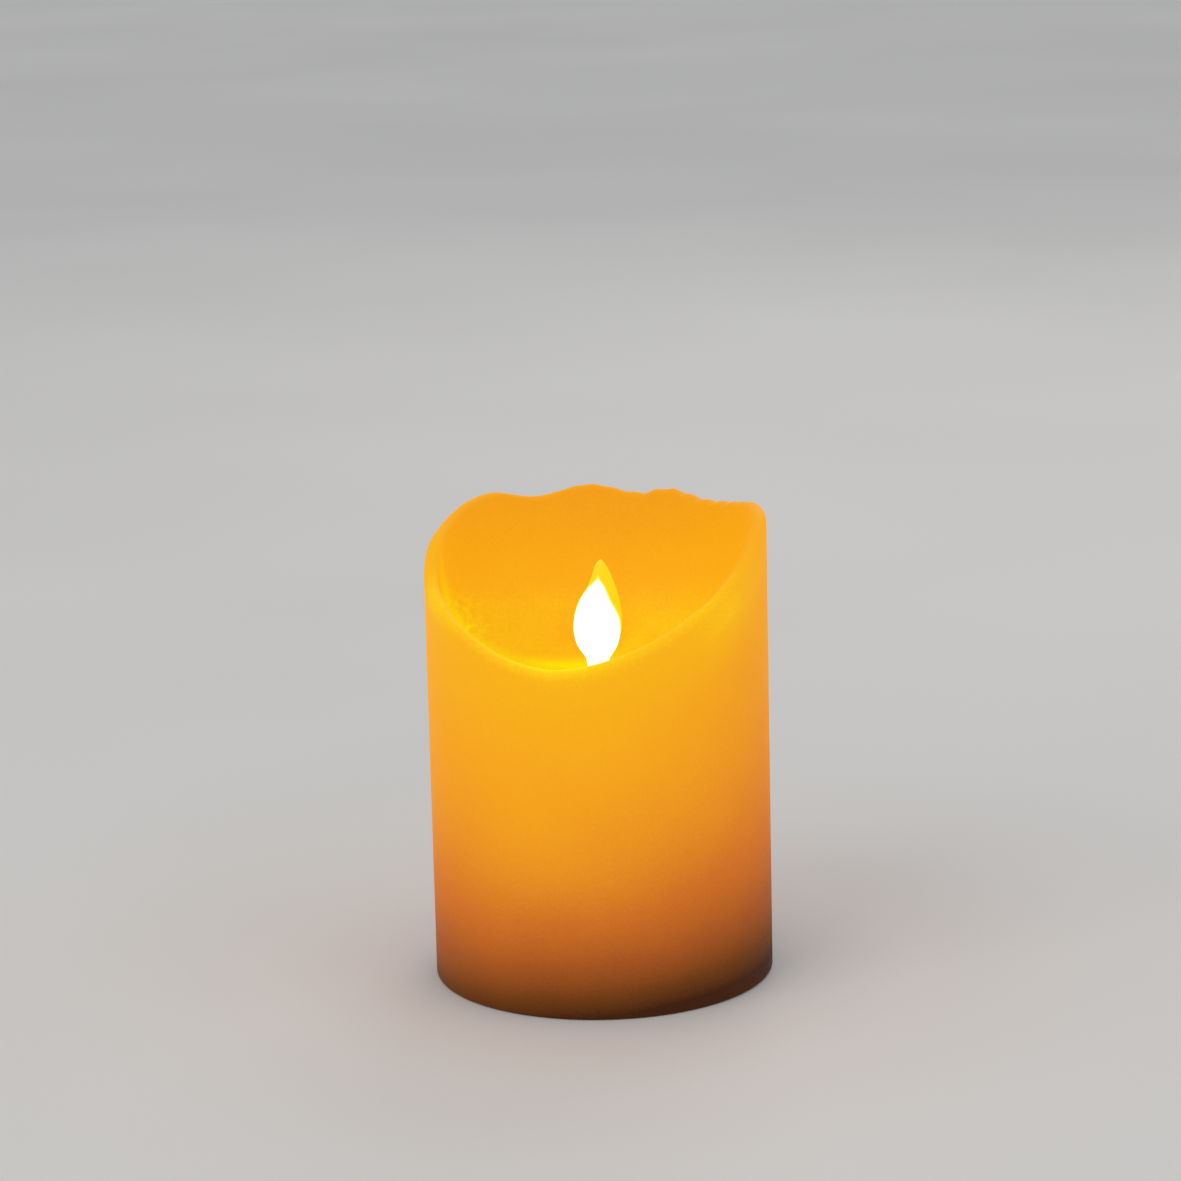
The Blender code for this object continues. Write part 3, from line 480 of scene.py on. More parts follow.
    def make(self) -> bpy.types.Material:
        """Lays out the painted glow and shade in emission and base colour, fine grain and slight translucency."""
        bench = ShaderBench(self.name, roughness=0.55)
        colour = bench.ramp(self.level(bench), self.stops())
        fleck = bench.math("SUBTRACT", bench.noise(2600, 2.0), 0.5)
        fleck_and_bowl_shade = bench.math("MULTIPLY_ADD", fleck, self.specks, 1.0)
        # Painted shade: the colours inside the bowl are darkened; the flecks above are random tone.
        fleck_and_bowl_shade = bench.math("MULTIPLY_ADD", bench.attribute("dish"), -self.bowl_shade, fleck_and_bowl_shade)
        toned = bench.mixed("MULTIPLY", 1.0, colour, fleck_and_bowl_shade)
        # Emission and base colour both take the painted glow colour, so the base colour also carries the painted glow
        # and the painted shade at the foot.
        for socket, share in (("Emission Color", self.glow_share), ("Base Color", self.body_share)):
            bench.link(bench.mixed("MULTIPLY", 1.0, toned, (share, share, share)), socket)
        bench.constant("Emission Strength", 1.0)
        bench.constant("Subsurface Weight", 0.25)
        bench.constant("Subsurface Radius", (1.0, 0.45, 0.12))
        bench.constant("Subsurface Scale", 2.5 * MM)
        bench.constant("Specular IOR Level", 0.09)
        bench.link(bench.math("MULTIPLY_ADD", bench.noise(900, 3.0), 0.22, 0.46), "Roughness")
        bench.bump(bench.noise(110, 2.0), 0.10 * MM, 0.6)
        bench.bump(bench.noise(1500, 4.0), 0.02 * MM, 0.7)
        return bench.material


@dataclass(frozen=True)
class MouldedPlastic(Finish):
    """Injection-moulded plastic with a fine spark-eroded grain and slight flow marks."""

    colour: Colour
    roughness: float = 0.45
    translucency: float = 0.0

    def make(self) -> bpy.types.Material:
        """Lays out colour drift, grain and roughness."""
        bench = ShaderBench(self.name, self.roughness)
        drift = bench.noise(140, 3.0)
        darker = tuple(0.94 * value for value in self.colour)
        bench.link(bench.ramp(drift, [(0.3, darker), (0.7, self.colour)]), "Base Color")
        bench.link(bench.math("MULTIPLY_ADD", bench.noise(1400, 3.0), 0.2, self.roughness - 0.1), "Roughness")
        bench.bump(bench.cells(3200), 0.012 * MM, 0.5)
        bench.constant("Subsurface Weight", self.translucency)
        bench.constant("Subsurface Scale", 1.0 * MM)
        return bench.material


@dataclass(frozen=True)
class PlatedMetal(Finish):
    """Plated sheet or wire, with rolling marks along one axis and darker handling stains."""

    colour: Colour
    roughness: float = 0.3
    grain: Point = (30.0, 900.0, 900.0)

    def make(self) -> bpy.types.Material:
        """Lays out the rolling marks and stains."""
        bench = ShaderBench(self.name, self.roughness, metallic=1.0)
        marks = bench.noise(4.0, 4.0, bench.stretched(self.grain))
        stained = tuple(0.72 * value for value in self.colour)
        bench.link(bench.ramp(bench.noise(420, 4.0), [(0.32, stained), (0.52, self.colour)]), "Base Color")
        bench.link(bench.math("MULTIPLY_ADD", marks, 0.24, self.roughness - 0.1), "Roughness")
        bench.bump(marks, 0.008 * MM, 0.4)
        return bench.material


@dataclass(frozen=True)
class EnamelledCopper(Finish):
    """Lacquered copper wire."""

    def make(self) -> bpy.types.Material:
        """Lays out a reddish metal with a thin clear coat."""
        bench = ShaderBench(self.name, 0.28, metallic=1.0)
        stops = [(0.3, srgb(150, 72, 32)), (0.7, srgb(206, 118, 62))]
        bench.link(bench.ramp(bench.noise(700, 3.0), stops), "Base Color")
        bench.constant("Coat Weight", 0.6)
        bench.constant("Coat Roughness", 0.12)
        bench.bump(bench.noise(2400, 2.0), 0.01 * MM, 0.5)
        return bench.material


@dataclass(frozen=True)
class SolderMask(Finish):
    """Green solder mask with copper tracks showing faintly under it, over a glass-fibre weave."""

    def make(self) -> bpy.types.Material:
        """Lays out tracks on a square grid, broken up by noise, and the weave's bump."""
        bench = ShaderBench(self.name, 0.34)
        across, depth, _up = bench.axes()
        bands = []
        for axis, other in ((across, depth), (depth, across)):
            wave = bench.math("FRACT", bench.math("MULTIPLY", axis, 520))
            track = bench.math("LESS_THAN", bench.math("ABSOLUTE", bench.math("SUBTRACT", wave, 0.5)), 0.17)
            gate = bench.math("FRACT", bench.math("ADD", bench.math("MULTIPLY", other, 93), 0.37))
            bands.append(bench.math("MULTIPLY", track, bench.math("LESS_THAN", gate, 0.42)))
        tracks = bench.math("MAXIMUM", bands[0], bands[1])
        mask = bench.ramp(bench.noise(260, 2.0), [(0.35, srgb(14, 84, 44)), (0.65, srgb(22, 104, 56))])
        bench.link(bench.mixed("MIX", tracks, mask, srgb(44, 140, 78)), "Base Color")
        bench.bump(tracks, 0.03 * MM, 0.8)
        bench.bump(bench.noise(1.0, 2.0, bench.stretched((900.0, 300.0, 900.0))), 0.01 * MM, 0.4)
        bench.constant("Coat Weight", 0.4)
        return bench.material


@dataclass(frozen=True)
class CellJacket(Finish):
    """A cell's printed film: a dark green body and a copper band at the positive end.

    Attributes:
        facing: 1 if the positive end is towards +X, or -1.
    """

    facing: int = 1

    def make(self) -> bpy.types.Material:
        """Lays out the bands along the cell, with a fine seam of wear between them."""
        bench = ShaderBench(self.name, 0.28, metallic=0.35)
        across, _depth, _up = bench.axes()
        along = bench.math("MULTIPLY_ADD", across, self.facing / (60 * MM), 0.5)
        worn = bench.math("MULTIPLY_ADD", bench.noise(800, 4.0), 0.012, along)
        stops = [
            (0.00, srgb(178, 176, 170)),
            (0.125, srgb(18, 62, 46)),
            (0.66, srgb(24, 78, 58)),
            (0.685, srgb(196, 120, 62)),
            (0.885, srgb(208, 134, 74)),
            (0.905, srgb(190, 188, 182)),
        ]
        colour = bench.ramp(worn, stops)
        colour.node.color_ramp.interpolation = "CONSTANT"
        bench.link(colour, "Base Color")
        bench.link(bench.math("MULTIPLY_ADD", bench.noise(500, 3.0), 0.2, 0.2), "Roughness")
        bench.bump(bench.noise(1.0, 3.0, bench.stretched((60.0, 1200.0, 1200.0))), 0.01 * MM, 0.4)
        bench.constant("Coat Weight", 0.5)
        return bench.material


@dataclass(frozen=True)
class LitEpoxy(Finish):
    """A clear LED lens, lit warm from inside."""

    strength: float

    def make(self) -> bpy.types.Material:
        """Lays out a clear tint and an uneven warm glow."""
        bench = ShaderBench(self.name, 0.12)
        swirl = bench.noise(500, 2.0)
        bench.link(bench.ramp(swirl, [(0.3, srgb(255, 206, 120)), (0.7, srgb(255, 226, 160))]), "Base Color")
        glow = [(0.25, srgb(255, 168, 60)), (0.75, srgb(255, 214, 128))]
        bench.link(bench.ramp(swirl, glow), "Emission Color")
        bench.constant("Emission Strength", self.strength)
        bench.constant("Coat Weight", 0.8)
        bench.bump(bench.noise(900, 2.0), 0.01 * MM, 0.3)
        return bench.material


@dataclass(frozen=True)
class FlameLeaf(Finish):
    """The translucent leaf: white-hot where the lamps strike it, clear yellow at its tip and edge."""

    strength: float = 3.0

    def make(self) -> bpy.types.Material:
        """Lays out the glow from the leaf's own core attribute."""
        bench = ShaderBench(self.name, 0.4)
        uneven = bench.math("SUBTRACT", bench.noise(420, 2.0), 0.5)
        drift = bench.math("MULTIPLY_ADD", uneven, 0.10, bench.attribute("core"))
        glow = [
            (0.00, (0.300, 0.190, 0.001)),
            (0.25, (0.315, 0.235, 0.001)),
            (0.42, (0.330, 0.280, 0.030)),
            (0.55, (0.380, 0.370, 0.300)),
            (0.75, (0.450, 0.450, 0.430)),
        ]
        bench.link(bench.ramp(drift, glow), "Emission Color")
        bench.constant("Emission Strength", self.strength)
        # The base colour follows the same painted glow: whiter at the hot core where the lamps strike the leaf, as
        # painted light.
        body = [(0.2, srgb(160, 112, 8)), (0.6, srgb(214, 200, 150))]
        bench.link(bench.ramp(drift, body), "Base Color")
        bench.constant("Subsurface Weight", 0.2)
        bench.constant("Subsurface Scale", 1.0 * MM)
        bench.bump(bench.noise(1.0, 3.0, bench.stretched((900.0, 900.0, 160.0))), 0.03 * MM, 0.5)
        return bench.material


@dataclass(frozen=True)
class WireJacket(Finish):
    """Soft PVC insulation with a faint spiral from the strands inside."""

    colour: Colour

    def make(self) -> bpy.types.Material:
        """Lays out colour drift and the strands' bump."""
        bench = ShaderBench(self.name, 0.42)
        darker = tuple(0.7 * value for value in self.colour)
        bench.link(bench.ramp(bench.noise(600, 3.0), [(0.3, darker), (0.7, self.colour)]), "Base Color")
        bench.bump(bench.noise(2000, 3.0), 0.02 * MM, 0.5)
        bench.constant("Sheen Weight", 0.1)
        return bench.material


WAX = GlowingWax("wax_painted_glow", Slot.WAX)
IVORY = MouldedPlastic("plastic_ivory", Slot.IVORY, srgb(232, 222, 196), 0.45, 0.1)
WHITE = MouldedPlastic("plastic_white", Slot.WHITE, srgb(236, 235, 228), 0.5, 0.15)
BLACK = MouldedPlastic("plastic_black", Slot.BLACK, srgb(34, 34, 36), 0.38)
STEEL = PlatedMetal("steel_zinc", Slot.STEEL, (0.72, 0.73, 0.75), 0.3)
SPRING = PlatedMetal("steel_spring", Slot.STEEL, (0.66, 0.66, 0.68), 0.24, (400.0, 400.0, 400.0))
NICKEL = PlatedMetal("nickel_plate", Slot.NICKEL, (0.80, 0.77, 0.70), 0.24, (900.0, 60.0, 900.0))
SOLDER = PlatedMetal("solder_tin", Slot.NICKEL, (0.78, 0.79, 0.80), 0.2, (500.0, 500.0, 500.0))
COPPER = EnamelledCopper("copper_enamel", Slot.COPPER)
BOARD = SolderMask("board_mask", Slot.BOARD)
CELL_LEFT = CellJacket("cell_film_left", Slot.JACKET, -1)
CELL_RIGHT = CellJacket("cell_film_right", Slot.JACKET, 1)
FLAME_LED = LitEpoxy("led_flame", Slot.EPOXY, 2.6)
BODY_LED = LitEpoxy("led_body", Slot.EPOXY, 1.0)
LEAF = FlameLeaf("flame_leaf_glow", Slot.FLAME)
STEM = MouldedPlastic("flame_stem_plastic", Slot.FLAME, srgb(250, 226, 160), 0.4, 0.3)
RED = WireJacket("wire_red", Slot.RED_WIRE, srgb(196, 30, 24))
DARK = WireJacket("wire_black", Slot.BLACK_WIRE, srgb(26, 26, 28))
CLEAR = WireJacket("wire_white", Slot.WHITE, srgb(226, 224, 214))


# ------------------------------------------------------------------ bench tools


class Bench:
    """Mesh tools, used the way a person works: start a primitive, shape it in edit mode, apply modifiers."""

    @staticmethod
    def clear() -> None:
        """Deselects everything."""
        for obj in bpy.context.selected_objects:
            obj.select_set(False)

    @classmethod
    def pick(cls, obj: bpy.types.Object) -> None:
        """Makes this the one selected and active object."""
        cls.clear()
        obj.select_set(True)
        bpy.context.view_layer.objects.active = obj

    @classmethod
    def settle(cls, obj: bpy.types.Object) -> bpy.types.Object:
        """Moves the object's place, turn and scale into its mesh.

        Args:
            obj: The piece.

        Returns:
            The same piece.
        """
        cls.pick(obj)
        bpy.ops.object.transform_apply(location=True, rotation=True, scale=True)
        return obj

    @classmethod
    def box(cls, name: str, low: Point, high: Point, soften: float = 0.0) -> bpy.types.Object:
        """Starts a block between two corners.

        Args:
            name: The piece's name.
            low: Lowest corner, in millimetres.
            high: Highest corner, in millimetres.
            soften: Width of its rounded edges, in millimetres.

        Returns:
            The block, settled at the origin.
        """
        cls.clear()
        low_corner, high_corner = Vector(low) * MM, Vector(high) * MM
        bpy.ops.mesh.primitive_cube_add(size=1, location=(low_corner + high_corner) / 2)
        made = bpy.context.active_object
        made.name = name
        made.scale = high_corner - low_corner
        cls.settle(made)
        if soften:
            cls.round_edges(made, soften)
        return made

    @classmethod
    def round_edges(cls, obj: bpy.types.Object, width: float, segments: int = 3) -> None:
        """Bevels the object's sharp edges.

        Args:
            obj: The piece.
            width: Bevel width, in millimetres.
            segments: Steps across the bevel.
        """
        bevel = obj.modifiers.new("soften", "BEVEL")
        bevel.width = width * MM
        bevel.segments = segments
        bevel.limit_method = "ANGLE"
        bevel.angle_limit = math.radians(FLAT_EDGE)
        cls.apply(obj)

    @classmethod
    def apply(cls, obj: bpy.types.Object) -> None:
        """Applies every modifier on the object."""
        cls.pick(obj)
        for modifier in list(obj.modifiers):
            bpy.ops.object.modifier_apply(modifier=modifier.name)

    @classmethod
    def carve(cls, obj: bpy.types.Object, tool: bpy.types.Object, operation: str = "DIFFERENCE") -> bpy.types.Object:
        """Cuts the tool out of the object, or joins it on, and throws the tool away.

        Args:
            obj: The piece.
            tool: The cutter, or the addition.
            operation: The Boolean's operation.

        Returns:
            The piece.
        """
        boolean = obj.modifiers.new("carve", "BOOLEAN")
        boolean.operation = operation
        boolean.solver = "EXACT"
        boolean.object = tool
        cls.apply(obj)
        bpy.data.objects.remove(tool)
        return obj

    @classmethod
    def turned(cls, name: str, profile: Profile, steps: int = 48, closed: bool = False) -> bpy.types.Object:
        """Spins a profile about Z.

        Args:
            name: The piece's name.
            profile: Radius and height of each point, in millimetres.
            steps: Steps round the turn.
            closed: True if the profile's last point joins its first, as in a ring.

        Returns:
            The turned piece, with its faces pointing out.
        """
        cls.clear()
        radius, height = profile[0]
        bpy.ops.mesh.primitive_plane_add(size=MM, location=(radius * MM, 0, height * MM))
        made = bpy.context.active_object
        made.name = name
        cls.settle(made)
        bpy.ops.object.mode_set(mode="EDIT")
        bpy.ops.mesh.select_all(action="SELECT")
        bpy.ops.mesh.merge(type="CENTER")
        for before, after in zip(profile, [*profile[1:], profile[0]] if closed else profile[1:]):
            step = ((after[0] - before[0]) * MM, 0, (after[1] - before[1]) * MM)
            bpy.ops.mesh.extrude_region_move(TRANSFORM_OT_translate={"value": step})
        bpy.ops.mesh.select_all(action="SELECT")
        bpy.ops.mesh.spin(steps=steps, angle=math.tau, center=(0, 0, 0), axis=(0, 0, 1))
        bpy.ops.mesh.select_all(action="SELECT")
        bpy.ops.mesh.remove_doubles(threshold=WELD)
        bpy.ops.mesh.normals_make_consistent(inside=False)
        bpy.ops.object.mode_set(mode="OBJECT")
        return made

    @classmethod
    def aimed(cls, obj: bpy.types.Object, place: Point, direction: Point = (0.0, 0.0, 1.0)) -> bpy.types.Object:
        """Points a piece that was turned about Z along a direction, and sets it in place.

        Args:
            obj: The piece.
            place: Where its foot goes, in millimetres.
            direction: Which way its Z goes.

        Returns:
            The piece, settled at the origin.
        """
        obj.rotation_mode = "QUATERNION"
        obj.rotation_quaternion = Vector((0, 0, 1)).rotation_difference(Vector(direction))
        obj.location = Vector(place) * MM
        return cls.settle(obj)

    @classmethod
    def wire(cls, name: str, route: Sequence[Point], radius: float, sides: int = 3) -> bpy.types.Object:
        """Runs a round wire along a route and turns it into a mesh.

        Args:
            name: The piece's name.
            route: Its points, in millimetres.
            radius: Its radius, in millimetres.
            sides: The bevel's resolution.

        Returns:
            The wire.
        """
        cls.clear()
        curve = bpy.data.curves.new(name, "CURVE")
        curve.dimensions = "3D"
        curve.bevel_depth = radius * MM
        curve.bevel_resolution = sides
        curve.use_fill_caps = True
        spline = curve.splines.new("POLY")
        spline.points.add(len(route) - 1)
        for target, point in zip(spline.points, route):
            target.co = (*(Vector(point) * MM), 1.0)
        made = bpy.data.objects.new(name, curve)
        bpy.context.scene.collection.objects.link(made)
        cls.pick(made)
        bpy.ops.object.convert(target="MESH")
        made = bpy.context.active_object
        bpy.ops.object.mode_set(mode="EDIT")
        bpy.ops.mesh.select_all(action="SELECT")
        bpy.ops.mesh.remove_doubles(threshold=WELD)
        bpy.ops.object.mode_set(mode="OBJECT")
        return made

    @classmethod
    def joined(cls, name: str, parts: Sequence[bpy.types.Object]) -> bpy.types.Object:
        """Gathers separate solids into one piece.

        Args:
            name: The piece's name.
            parts: The solids.

        Returns:
            The one object.
        """
        cls.pick(parts[0])
        for part in parts:
            part.select_set(True)
        bpy.ops.object.join()
        made = bpy.context.active_object
        made.name = name
        return made

    @classmethod
    def finish(cls, obj: bpy.types.Object, finish: Finish, body: Body, *nodes: str, sharp: float = FLAT_EDGE) -> None:
        """Shades, dresses and attaches a finished piece.

        Args:
            obj: The piece.
            finish: Its finish.
            body: The body that it rides on.
            nodes: The solids that it stands for.
            sharp: Angle past which an edge stays crisp, in degrees.
        """
        cls.pick(obj)
        bpy.ops.object.shade_smooth_by_angle(angle=math.radians(sharp))
        obj.data.materials.clear()
        obj.data.materials.append(finish.material())
        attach(obj, body.value)
        if nodes:
            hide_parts(*nodes)
        LOG.info("%s: %d faces, rides on %s", obj.name, len(obj.data.polygons), body.value)


class Frame:
    """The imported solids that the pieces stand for."""

    def __init__(self) -> None:
        """Loads the solids and notes the size of their box."""
        self.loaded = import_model()
        self.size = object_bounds()

    @staticmethod
    def box(node: str) -> tuple[Vector, Vector]:
        """Measures a solid.

        Args:
            node: The solid's name.

        Returns:
            Its lowest and highest corners, in millimetres.
        """
        low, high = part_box(node)
        return low / MM, high / MM

    def write_sizes(self) -> None:
        """Works out the solids' box and the visual model's box, and keeps neither."""
        boxes = {"cad": self.size, "visual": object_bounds()}
        {name: [list(low), list(high)] for name, (low, high) in boxes.items()}

    def refined(
        self, node: str, name: str, finish: Finish, body: Body, soften: float = 0.0, sharp: float = FLAT_EDGE
    ) -> bpy.types.Object:
        """Makes a smoother piece from a copy of a solid: merged, its flats cleared, its edges softened.

        Args:
            node: The solid's name.
            name: The piece's name.
            finish: Its finish.
            body: The body that it rides on.
            soften: Width of its rounded edges, in millimetres.
            sharp: Angle past which an edge stays crisp, in degrees.

        Returns:
            The piece.
        """
        Bench.clear()
        solid = self.loaded["nodes"][node]
        made = bpy.data.objects.new(name, solid.data.copy())
        bpy.context.scene.collection.objects.link(made)
        Bench.pick(made)
        bpy.ops.mesh.customdata_custom_splitnormals_clear()
        bpy.ops.object.mode_set(mode="EDIT")
        bpy.ops.mesh.select_all(action="SELECT")
        bpy.ops.mesh.remove_doubles(threshold=2 * WELD)
        if soften:
            bpy.ops.mesh.dissolve_limited(angle_limit=math.radians(0.5))
        bpy.ops.object.mode_set(mode="OBJECT")
        if soften:
            Bench.round_edges(made, soften, 2)
        Bench.finish(made, finish, body, node, sharp=sharp)
        return made

    def refined_set(self, finish: Finish, soften: float, pieces: dict[str, str]) -> None:
        """Makes several smoother pieces that share a finish and stay with the candle.

        Args:
            finish: Their finish.
            soften: Width of their rounded edges, in millimetres.
            pieces: Each piece's name, by the solid that it stands for.
        """
        for node, name in pieces.items():
            self.refined(node, name, finish, Body.CANDLE, soften, FLAT_EDGE if soften else ROUND_EDGE)


# ------------------------------------------------------------------ wax


@dataclass(frozen=True)
class Patch:
    """A soft patch of extra light on the wall below the rim. Sizes in millimetres, azimuths in degrees."""

    strength: float
    azimuth: float
    spread: float
    depth: float = 0.0
    reach: float = math.inf

    def level(self, azimuth: float, depth: float = 0.0) -> float:
        """Works out the light at a place.

        Args:
            azimuth: The place's azimuth.
            depth: How far it lies below the rim.

        Returns:
            The extra glow level.
        """
        turn = (azimuth - self.azimuth + 180) % 360 - 180
        return self.strength * math.exp(-((turn / self.spread) ** 2) - ((depth - self.depth) / self.reach) ** 2)


@dataclass
class WaxBody:
    """The hollow wax pillar with its melted rim and its bowl. Sizes in millimetres, azimuths in degrees.

    Attributes:
        radius: The pillar's radius.
        cavity_radius: Radius of the room for the works.
        roof: Height of that room's ceiling.
        roof_round: Rounding where its wall meets the ceiling.
        dish_floor: Height of the bowl's floor.
        crest_radius: Radius of the rim's highest line.
        mouth_radius: Radius at which the rim turns down into the bowl.
        mouth_drop: How far below the crest that is.
        shoulder_drop: How far down the rim's outer rounding reaches.
        bowl_power: Squareness of the bowl's section.
        foot_round: Rounding of the pillar's foot.
        lip_low: Height of the rim at its lowest.
        lip_azimuth: Where that is.
        lip_rise: How much higher the melt line would be on the far side.
        lip_power: Shape of its slant.
        blend: Softness of the turn from the melt line to the wavy edge.
        shoulder_dip: Depth of the extra melting on the left shoulder.
        shoulder_azimuth: Where that is.
        shoulder_spread: How wide it is.
        hole_radius: Radius of the flame's hole.
        counterbore_radius: Radius of the seat for the trim ring.
        counterbore_floor: Height of that seat.
        steps: Steps round the turn.
        waves: Azimuth and height of each crest and dip of the wavy far edge.
        lip_glow: Light in the thin wax at the lowest lip.
        wall_patches: Light on the outer wall below the rim.
        highlight_patch: Where the painted streaky highlights show, by azimuth.
        highlight_height: Height of their middle.
        highlight_reach: Their reach up and down.
    """

    radius: float = 37.5
    cavity_radius: float = 32.0
    roof: float = 61.0
    roof_round: float = 2.0
    dish_floor: float = 65.2
    crest_radius: float = 35.8
    mouth_radius: float = 34.4
    mouth_drop: float = 1.1
    shoulder_drop: float = 2.2
    bowl_power: float = 2.8
    foot_round: float = 0.8
    lip_low: float = 76.7
    lip_azimuth: float = -106.0
    lip_rise: float = 42.0
    lip_power: float = 0.85
    blend: float = 2.0
    shoulder_dip: float = 2.2
    shoulder_azimuth: float = 186.0
    shoulder_spread: float = 14.0
    hole_radius: float = 9.9
    counterbore_radius: float = 11.4
    counterbore_floor: float = 64.0
    steps: int = 240
    waves: tuple[tuple[float, float], ...] = (
        (2, 103.6), (45, 100.7), (62, 102.3), (73, 100.9), (91, 102.7), (111, 100.7), (131, 102.9), (168, 98.6),
    )
    lip_glow: Patch = Patch(0.24, -104, 17)
    wall_patches: tuple[Patch, ...] = (Patch(0.10, -38, 21, 6, 7), Patch(0.045, -160, 12, 2, 3))
    highlight_patch: Patch = Patch(1.0, 159, 13)
    highlight_height: float = 78.0
    highlight_reach: float = 6.0

    def wave(self, azimuth: float) -> float:
        """Follows the wavy far edge.

        Args:
            azimuth: Where it is read.

        Returns:
            Its height there.
        """
        stops = [*self.waves, (self.waves[0][0] + 360, self.waves[0][1])]
        turn = azimuth % 360
        if turn < stops[0][0]:
            turn += 360
        for (start, low), (end, high) in zip(stops, stops[1:]):
            if start <= turn <= end:
                share = (1 - math.cos(math.pi * (turn - start) / (end - start))) / 2
                return low + (high - low) * share
        return stops[0][1]

    def rim(self, azimuth: float) -> float:
        """Follows the crest: the slanted melt line, eased under the wavy edge.

        Args:
            azimuth: Where it is read.

        Returns:
            Its height there.
        """
        swing = (1 - math.cos(math.radians(azimuth - self.lip_azimuth))) / 2
        lip = self.lip_low + self.lip_rise * swing**self.lip_power
        edge = self.wave(azimuth)
        eased = min(lip, edge) - self.blend * math.log(1 + math.exp(-abs(lip - edge) / self.blend))
        aside = (azimuth % 360 - self.shoulder_azimuth) / self.shoulder_spread
        return eased - self.shoulder_dip * math.exp(-(aside**2))

    def fall(self, radius: float) -> float:
        """Says how far down the bowl a radius lies.

        Args:
            radius: The radius.

        Returns:
            0 at the bowl's mouth, and 1 at its floor.
        """
        def depth(r: float) -> float:
            """Returns the rounded section's depth at a radius."""
            return max(0.0, 1 - (r / self.mouth_radius) ** self.bowl_power) ** (1 / self.bowl_power)

        return depth(radius) / depth(self.counterbore_radius)

    @staticmethod
    def quarter(count: int) -> list[tuple[float, float]]:
        """Returns the sine and cosine at each of a number of steps through a quarter turn, without its start."""
        turns = [math.pi / 2 * index / count for index in range(1, count + 1)]
        return [(math.sin(turn), math.cos(turn)) for turn in turns]

    def profile(self) -> list[tuple[float, float]]:
        """Returns the section at the lowest point of the rim: out of the bowl, over the crest, down and inside."""
        mouth, shoulder = self.lip_low - self.mouth_drop, self.lip_low - self.shoulder_drop
        rise = mouth - self.dish_floor
        bowl = [(self.counterbore_radius, mouth - rise * self.fall(self.counterbore_radius))]
        for across, _ in self.quarter(34):
            radius = self.counterbore_radius + (self.mouth_radius - self.counterbore_radius) * across
            bowl.append((radius, mouth - rise * self.fall(radius)))
        inner, outer = self.crest_radius - self.mouth_radius, self.radius - self.crest_radius
        crest = [(self.crest_radius - inner * back, mouth + self.mouth_drop * up) for up, back in self.quarter(6)]
        crest += [
            (self.crest_radius + outer * out, self.lip_low - self.shoulder_drop * (1 - back))
            for out, back in self.quarter(8)
        ]
        levels = 38
        wall = [
            (self.radius, shoulder - (shoulder - self.foot_round) * index / levels) for index in range(1, levels + 1)
        ]
        foot = [
            (self.radius - self.foot_round * (1 - back), self.foot_round * (1 - down)) for down, back in self.quarter(4)
        ]
        ceiling = self.roof - self.roof_round
        inside = [(self.cavity_radius, ceiling * index / 6) for index in range(7)]
        inside += [
            (self.cavity_radius - self.roof_round * (1 - back), ceiling + self.roof_round * up)
            for up, back in self.quarter(4)
        ]
        hole = [(self.hole_radius, self.roof), (self.hole_radius, self.counterbore_floor)]
        return [*bowl, *crest, *wall, *foot, *inside, *hole, (self.counterbore_radius, self.counterbore_floor)]

    def lifted(self, radius: float, height: float) -> tuple[bool, float]:
        """Says how a point of the level section follows the rim.

        Args:
            radius: The point's radius.
            height: Its height.

        Returns:
            Whether it lies in the bowl, and its share of the rim's rise.
        """
        margin = 0.01
        shoulder = self.lip_low - self.shoulder_drop
        if radius < self.mouth_radius + margin and height > self.counterbore_floor + margin:
            return True, 1 - self.fall(radius)
        if height >= shoulder - margin:
            return False, 1.0
        if radius > self.cavity_radius + margin:
            return False, max(0.0, (height - self.foot_round) / (shoulder - self.foot_round))
        return False, 0.0

    def place(self, vertex: bpy.types.MeshVertex) -> tuple[float, float, float, float]:
        """Moves one vertex up with the rim, adds the hand-made unevenness, and says how it is lit.

        Args:
            vertex: A vertex of the level section, turned about Z.

        Returns:
            Its share of the dish, the dish's glow there, the lip's extra glow, and the strength of the painted streaky
            highlights.
        """
        x, y, z = vertex.co / MM
        radius, azimuth = math.hypot(x, y), math.degrees(math.atan2(y, x))
        angle = math.radians(azimuth)
        in_bowl, share = self.lifted(radius, z)
        height = z + share * (self.rim(azimuth) - self.lip_low)
        ripple = 0.12 * math.sin(angle * 5 + 0.6) * math.sin(height / 7.5)
        crest = math.exp(-(((radius - 35.5) / 1.3) ** 2)) if z > self.lip_low - 3 else 0.0
        sway = ripple * share + 0.22 * crest * math.sin(angle * 9 + 1.3)
        height -= crest * Patch(0.35, 55, 30).level(azimuth) * (1 + math.sin(angle * 47))
        if radius > self.counterbore_radius + 1:
            inwards = 1 - abs(sway) / radius
            vertex.co.x, vertex.co.y = x * inwards * MM, y * inwards * MM
        vertex.co.z = height * MM
        dish = 1.0 if in_bowl else 0.0
        if share == 1.0 and not in_bowl:
            dish = min(1.0, max(0.0, (self.radius - radius) / (self.radius - self.mouth_radius)))
        glow = self.bowl_glow(x, y, height)
        return dish, glow, self.crest_glow(radius, azimuth, height), self.highlight_streaks(radius, azimuth, height)

    def bowl_glow(self, x: float, y: float, height: float) -> float:
        """Lights the bowl, with the arc that the lamps throw across its floor behind the flame.

        Args:
            x: Place along X.
            y: Place along Y.
            height: Height of the place.

        Returns:
            The glow level.
        """
        fading = 0.945 - 0.0052 * (height - self.dish_floor)
        level = min(fading, 0.883 + 0.0015 * max(0.0, min(x, 15.0))) + 0.035 * (x / 30) ** 2
        away = (y - 14.8 - 0.25 * x - 0.012 * max(0.0, x + 8) ** 2) / 2.9
        reach = 0.045 * max(0.0, min(1.0, (14 - x) / 12)) + 0.07 * math.exp(-(((x + 7) / 9) ** 2))
        return level + reach * math.exp(-(away**2))

